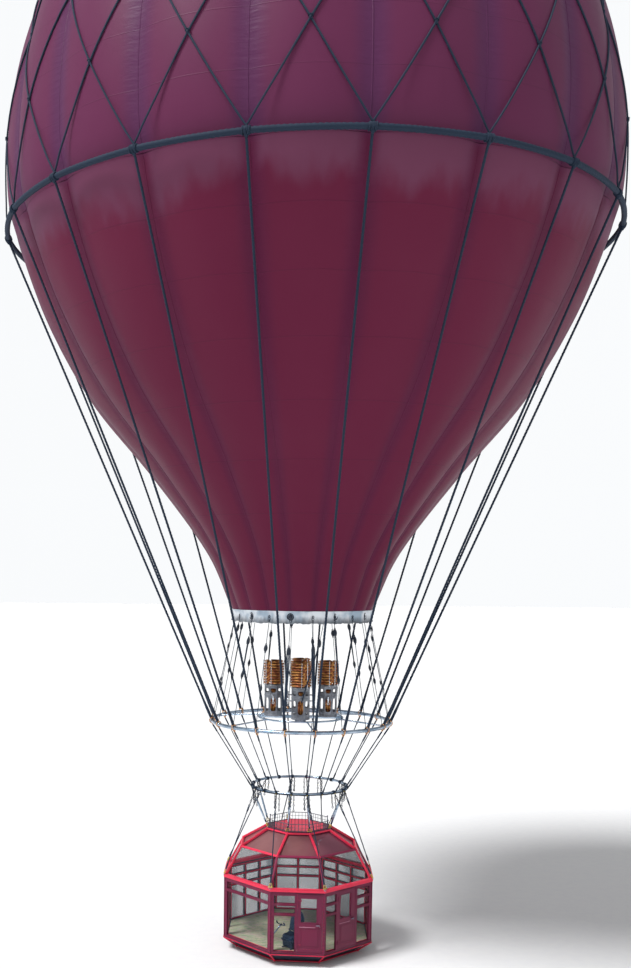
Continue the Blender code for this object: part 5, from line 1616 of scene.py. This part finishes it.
def padForm(power, rows=26, columns=48):
    # A rounded box in -1..1: signed powers of a sphere's sines and cosines.
    p = np.linspace(0.10, math.pi - 0.10, rows)[:, None]
    q = (tau * np.arange(columns) / columns)[None]
    bend = lambda v: np.sign(v) * np.abs(v) ** power
    points = np.stack([bend(np.sin(p)) * bend(np.cos(q)), bend(np.sin(p)) * bend(np.sin(q)),
            bend(np.cos(p)) + 0 * q], -1)
    return points.reshape(-1, 3), capped(rows, columns, True)


def swell(made, channels):
    # Remeshes a pad, blows it up a little as cloth, holds each point within the cap and sinks its seams.
    scene = bpy.context.scene
    voxels = made.modifiers.new("voxels", "REMESH")
    voxels.mode, voxels.voxel_size = "VOXEL", seat["voxel"]
    old = made.data
    look = old.materials[0]
    mesh = bpy.data.meshes.new_from_object(made.evaluated_get(bpy.context.evaluated_depsgraph_get()))
    made.modifiers.clear()
    made.data = mesh
    mesh.materials.clear()
    mesh.materials.append(look)
    rest = np.zeros(len(mesh.vertices) * 3)
    mesh.vertices.foreach_get("co", rest)
    cloth = made.modifiers.new("cloth", "CLOTH")
    cloth.settings.use_pressure = True
    cloth.settings.uniform_pressure_force = seat["pressure"]
    cloth.settings.effector_weights.gravity = 0
    for step in range(1, seat["frames"] + 1):
        scene.frame_set(step)
    full = made.evaluated_get(bpy.context.evaluated_depsgraph_get()).data
    blown = np.zeros(len(full.vertices) * 3)
    full.vertices.foreach_get("co", blown)
    made.modifiers.clear()
    scene.frame_set(1)
    move = (blown - rest).reshape(-1, 3)
    far = np.linalg.norm(move, axis=1, keepdims=True)
    move *= np.minimum(1, seat["cap"] / np.maximum(far, 1e-6))
    mesh.vertices.foreach_set("co", (rest.reshape(-1, 3) + move).ravel())
    mesh = made.data
    points = np.zeros(len(mesh.vertices) * 3)
    mesh.vertices.foreach_get("co", points)
    points = points.reshape(-1, 3)
    mesh.vertices.foreach_set("co", channels(points).ravel())
    mesh.shade_smooth()
    smooth = made.modifiers.new("smooth", "SUBSURF")
    smooth.levels = smooth.render_levels = 1


def turnSeat(made):
    # The seat is shaped facing -X and then turned towards the yoke.
    spot = Vector((seat["x"], seat["y"], 0))
    made.data.transform(Matrix.Translation(spot) @ Matrix.Rotation(seat["turn"], 4,
            "Z") @ Matrix.Translation(-spot))
    return made


def makeSeat():
    # Two sewn pads, a shell under and behind them, and a wide pedestal on two floor rails.
    flat, faces = padForm(0.42)
    x, y, z = flat.T
    high = np.clip(z, 0, 1)
    cushion = np.stack([seat["x"] + 0.005 + x * (0.262 - 0.012 * y * y),
            seat["y"] + y * (seat["half"] - 0.028 + 0.010 * x),
                        (seat["low"] + seat["top"]) / 2 - 0.006 + z * 0.072
                        + high * (0.030 * np.abs(y) ** 3 - 0.030 * np.clip(-x - 0.4, 0, 1) ** 2
                                                                                     - 0.016 * (1 - y * y)
                                                                                     + 0.030 * np.clip((x
                                                                                     - 0.15) / 0.3, 0, 1))],
                                                                                     -1)
    made = Pile().add(cushion, faces).piece("seatCushionPad", looks["leather"], "seat_navy")

    def cushionChannels(points):
        # Two long seams beside the bolsters and three cross tufts, sunk into the top.
        over = points[:, 1] - seat["y"]
        ahead = points[:, 0] - seat["x"]
        topSide = np.clip((points[:, 2] - (seat["low"] + seat["top"]) / 2) / 0.03, 0, 1)
        dip = sum(0.010 * np.exp(-((over - s) / seat["tuft"]) ** 2)
                for s in (-seat["bolster"], seat["bolster"]))
        dip = dip + sum(0.007 * np.exp(-((ahead - s) / seat["tuft"]) ** 2)
                for s in (-0.12, 0.0, 0.12)) * (np.abs(over) < seat["bolster"])
        points[:, 2] -= dip * topSide
        return points

    swell(made, cushionChannels)
    turnSeat(made)
    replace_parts(made, "seat_cushion")

    lean = seat["lean"]
    rise, back = np.array([math.sin(lean), 0, math.cos(lean)]), np.array([math.cos(lean),
            0, -math.sin(lean)])
    across = np.array([0, 1.0, 0])
    origin = np.array([seat["x"] + 0.12, seat["y"], seat["top"] + 0.0171])

    def backForm(grow, thin, shift, power=0.45):
        flat, faces = padForm(power)
        x, y, z = flat.T
        narrow = 1 - 0.42 * np.clip((z - 0.15) / 0.85, 0, 1) ** 1.6 + 0.05 * np.clip(-z - 0.4, 0, 1)
        front = -0.022 * np.abs(y) ** 2 * np.clip(0.8 - z, 0, 1)
        deep = 0.064 + shift + x * thin * (1 - 0.15 * np.abs(z)) + front * (1 if thin > 0.03 else 0.6)
        points = origin + deep[:, None] * back + (y * (seat["half"] - 0.014
                + grow) * narrow)[:, None] * across + (seat["back"] / 2 - 0.010
                + z * (seat["back"] / 2 + 0.002 + 0.4 * grow))[:, None] * rise
        return points, faces

    pad = Pile().add(*backForm(0.0, 0.046, -0.004)).piece("seatBackPad", looks["leather"], "seat_navy")

    def backChannels(points):
        # Cross tufts down the middle, seams beside the bolsters and one under the headrest, on the front face.
        local = points - origin
        tall, over, deep = local @ rise, local[:, 1], local @ back
        ahead = np.clip((0.06 - deep) / 0.03, 0, 1)
        dip = sum(0.007 * np.exp(-((tall - s) / 0.012) ** 2)
                for s in (0.12, 0.22, 0.32, 0.42)) * (np.abs(over) < seat["backBolster"])
        dip = dip + sum(0.009 * np.exp(-((over - s) / 0.012) ** 2)
                for s in (-seat["backBolster"], seat["backBolster"])) * (tall < 0.50)
        dip = dip + 0.012 * np.exp(-((tall - 0.52) / 0.014) ** 2)
        return points + (dip * ahead)[:, None] * back

    swell(pad, backChannels)
    turnSeat(pad)
    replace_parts(pad, "seat_back")

    hull = Pile().add(*backForm(0.012, 0.016, 0.048, 0.6))
    flat, faces = padForm(0.5)
    tub = flat * [0.275, seat["half"] - 0.012, 0.03] + [seat["x"] + 0.006, seat["y"], seat["low"] + 0.012]
    hull.add(tub, faces)
    for sign in (-1, 1):
        hinge = origin + 0.085 * back + 0.02 * rise + sign * (seat["half"] - 0.035) * across
        hull.add(*bar(hinge - 0.02 * sign * across, hinge + 0.03 * sign * across, 0.045, 20))
    turnSeat(hull.piece("seatShell", looks["grip"], "seat_black"))
    flat, faces = padForm(0.35)
    share = (flat[:, 2] + 1) / 2
    spread = (1.0 - 0.08 * share * (1 - share) + 0.03 * share)[:, None]
    base = np.column_stack([flat[:, :2] * spread * [0.202, 0.250], flat[:, 2] * 0.112]) + [seat["x"] + 0.01,
            seat["y"], -22.398]
    pedestal = Pile().add(base, faces)
    for sign in (-1, 1):
        pedestal.box((seat["x"] - 0.23, seat["y"] + sign * 0.18 - 0.018, seat["floor"]),
                (seat["x"] + 0.25, seat["y"] + sign * 0.18 + 0.018, seat["rails"]), 0.004)
        for x in (-0.21, 0.23):
            pedestal.add(*rivet((seat["x"] + x, seat["y"] + sign * 0.18, seat["rails"]), up, 0.012, 8))
    made = turnSeat(pedestal.piece("seatPedestalShell", looks["grip"], "seat_black"))
    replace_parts(made, "seat_pedestal")


def makeSteering():
    # A floor post that bends into the sloping column, with a foot plate, collars and a yoke with two grips.
    centre, bend = np.array([-0.523, -1.854, -21.782]), np.array([-0.805, -2.142, -22.068])
    axis = unit(centre - bend)
    foot = np.array([bend[0], bend[1], seat["floor"]])
    corner = np.stack([foot, bend - up * 0.09, bend - up * 0.02, bend + axis * 0.03, bend + axis * 0.10,
            centre - axis * 0.037])
    run = np.concatenate([[0], np.cumsum(np.linalg.norm(np.diff(corner, axis=0), axis=1))])
    path = np.stack([np.interp(np.linspace(0, run[-1], 60), run, corner[:, i]) for i in range(3)], -1)
    path[1:-1] = (path[:-2] + 2 * path[1:-1] + path[2:]) / 4
    right = unit(np.cross(up, axis))
    column = Pile().add(*tube(path, 0.0218, 18, right))
    column.add(*bar(centre - axis * 0.13, centre - axis * 0.050, [0.024, 0.030, 0.030, 0.028], 18, 4))
    column.add(*bar(centre - axis * 0.28, centre - axis * 0.26, 0.027, 18))
    column.add(*turned([(0.075, -22.5393), (0.075, -22.531), (0.06, -22.525), (0.026, -22.52)], 28,
            (foot[0], foot[1], 0)))
    for turn in range(6):
        spot = foot + 0.062 * np.array([math.cos(turn * tau / 6), math.sin(turn * tau / 6), 0])
        column.add(*rivet(spot + [0, 0, 0.012], up, 0.008, 6))
    made = column.piece("steeringColumnTube", looks["steel"], "ring_steel")
    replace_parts(made, "steering_column")

    high = np.cross(axis, right)
    yoke = Pile()
    yoke.add(*bar(centre - axis * 0.0347, centre + axis * 0.032,
            [0.030, 0.035, 0.035, 0.035, 0.030, 0.020], 24, 6))
    yoke.add(*bar(centre + axis * 0.030, centre + axis * 0.038, [0.020, 0.018], 20))
    reach = np.linspace(0, 1, 40)
    for sign in (-1, 1):
        out = sign * np.interp(reach, [0, 0.15, 0.45, 0.62, 0.8, 1], [0, 0.035, 0.125, 0.160, 0.172, 0.150])
        tall = np.interp(reach, [0, 0.15, 0.45, 0.62, 0.8, 1], [0, -0.004, -0.012, 0.006, 0.060, 0.112])
        ahead = np.interp(reach, [0, 0.5, 1], [0.0, 0.012, 0.020])
        route = centre + out[:, None] * right + tall[:, None] * high + ahead[:, None] * axis
        for _ in range(3):
            route[1:-1] = (route[:-2] + 2 * route[1:-1] + route[2:]) / 4
        thick = np.interp(reach, [0, 0.5, 0.6, 0.64, 0.96, 1], [0.016, 0.016, 0.016, 0.0225, 0.0225, 0.012])
        thick = thick + 0.0010 * np.cos(reach * 150) * (reach > 0.64)
        yoke.add(*tube(route, thick, 14, axis))
        yoke.add(*rivet(centre + sign * 0.012 * right + axis * 0.037, axis, 0.005, 6))
    made = yoke.piece("yokeGrips", looks["grip"], "grip_black", "yoke")
    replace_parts(made, "steering_yoke")


makeSeat()
makeSteering()


print("stage: nodes that stay")

slotLooks = {"envelope_burgundy": "fabric", "mouth_band_silver": "silver", "rope_navy": "rope",
             "ring_steel": "steel", "burner_steel": "burner", "coil_copper": "copper", "cabin_red": "red",
             "clear_glass": "clear", "roof_tint": "tint", "railing_steel": "rail", "floor_khaki": "carpet",
             "skirt_navy": "skirt", "seat_navy": "leather", "seat_black": "grip", "grip_black": "grip"}
for row in frame["record"]["subparts"]:
    node = frame["nodes"][row["node"]]
    # Painted light: the base frame takes the half-lit copy of the paint, against the shade under the cabin.
    for spot in node.material_slots:
        spot.material = looks["redPaintedHalfLight" if row["node"] == "base_frame"
                else slotLooks[row["material_slot"]]]
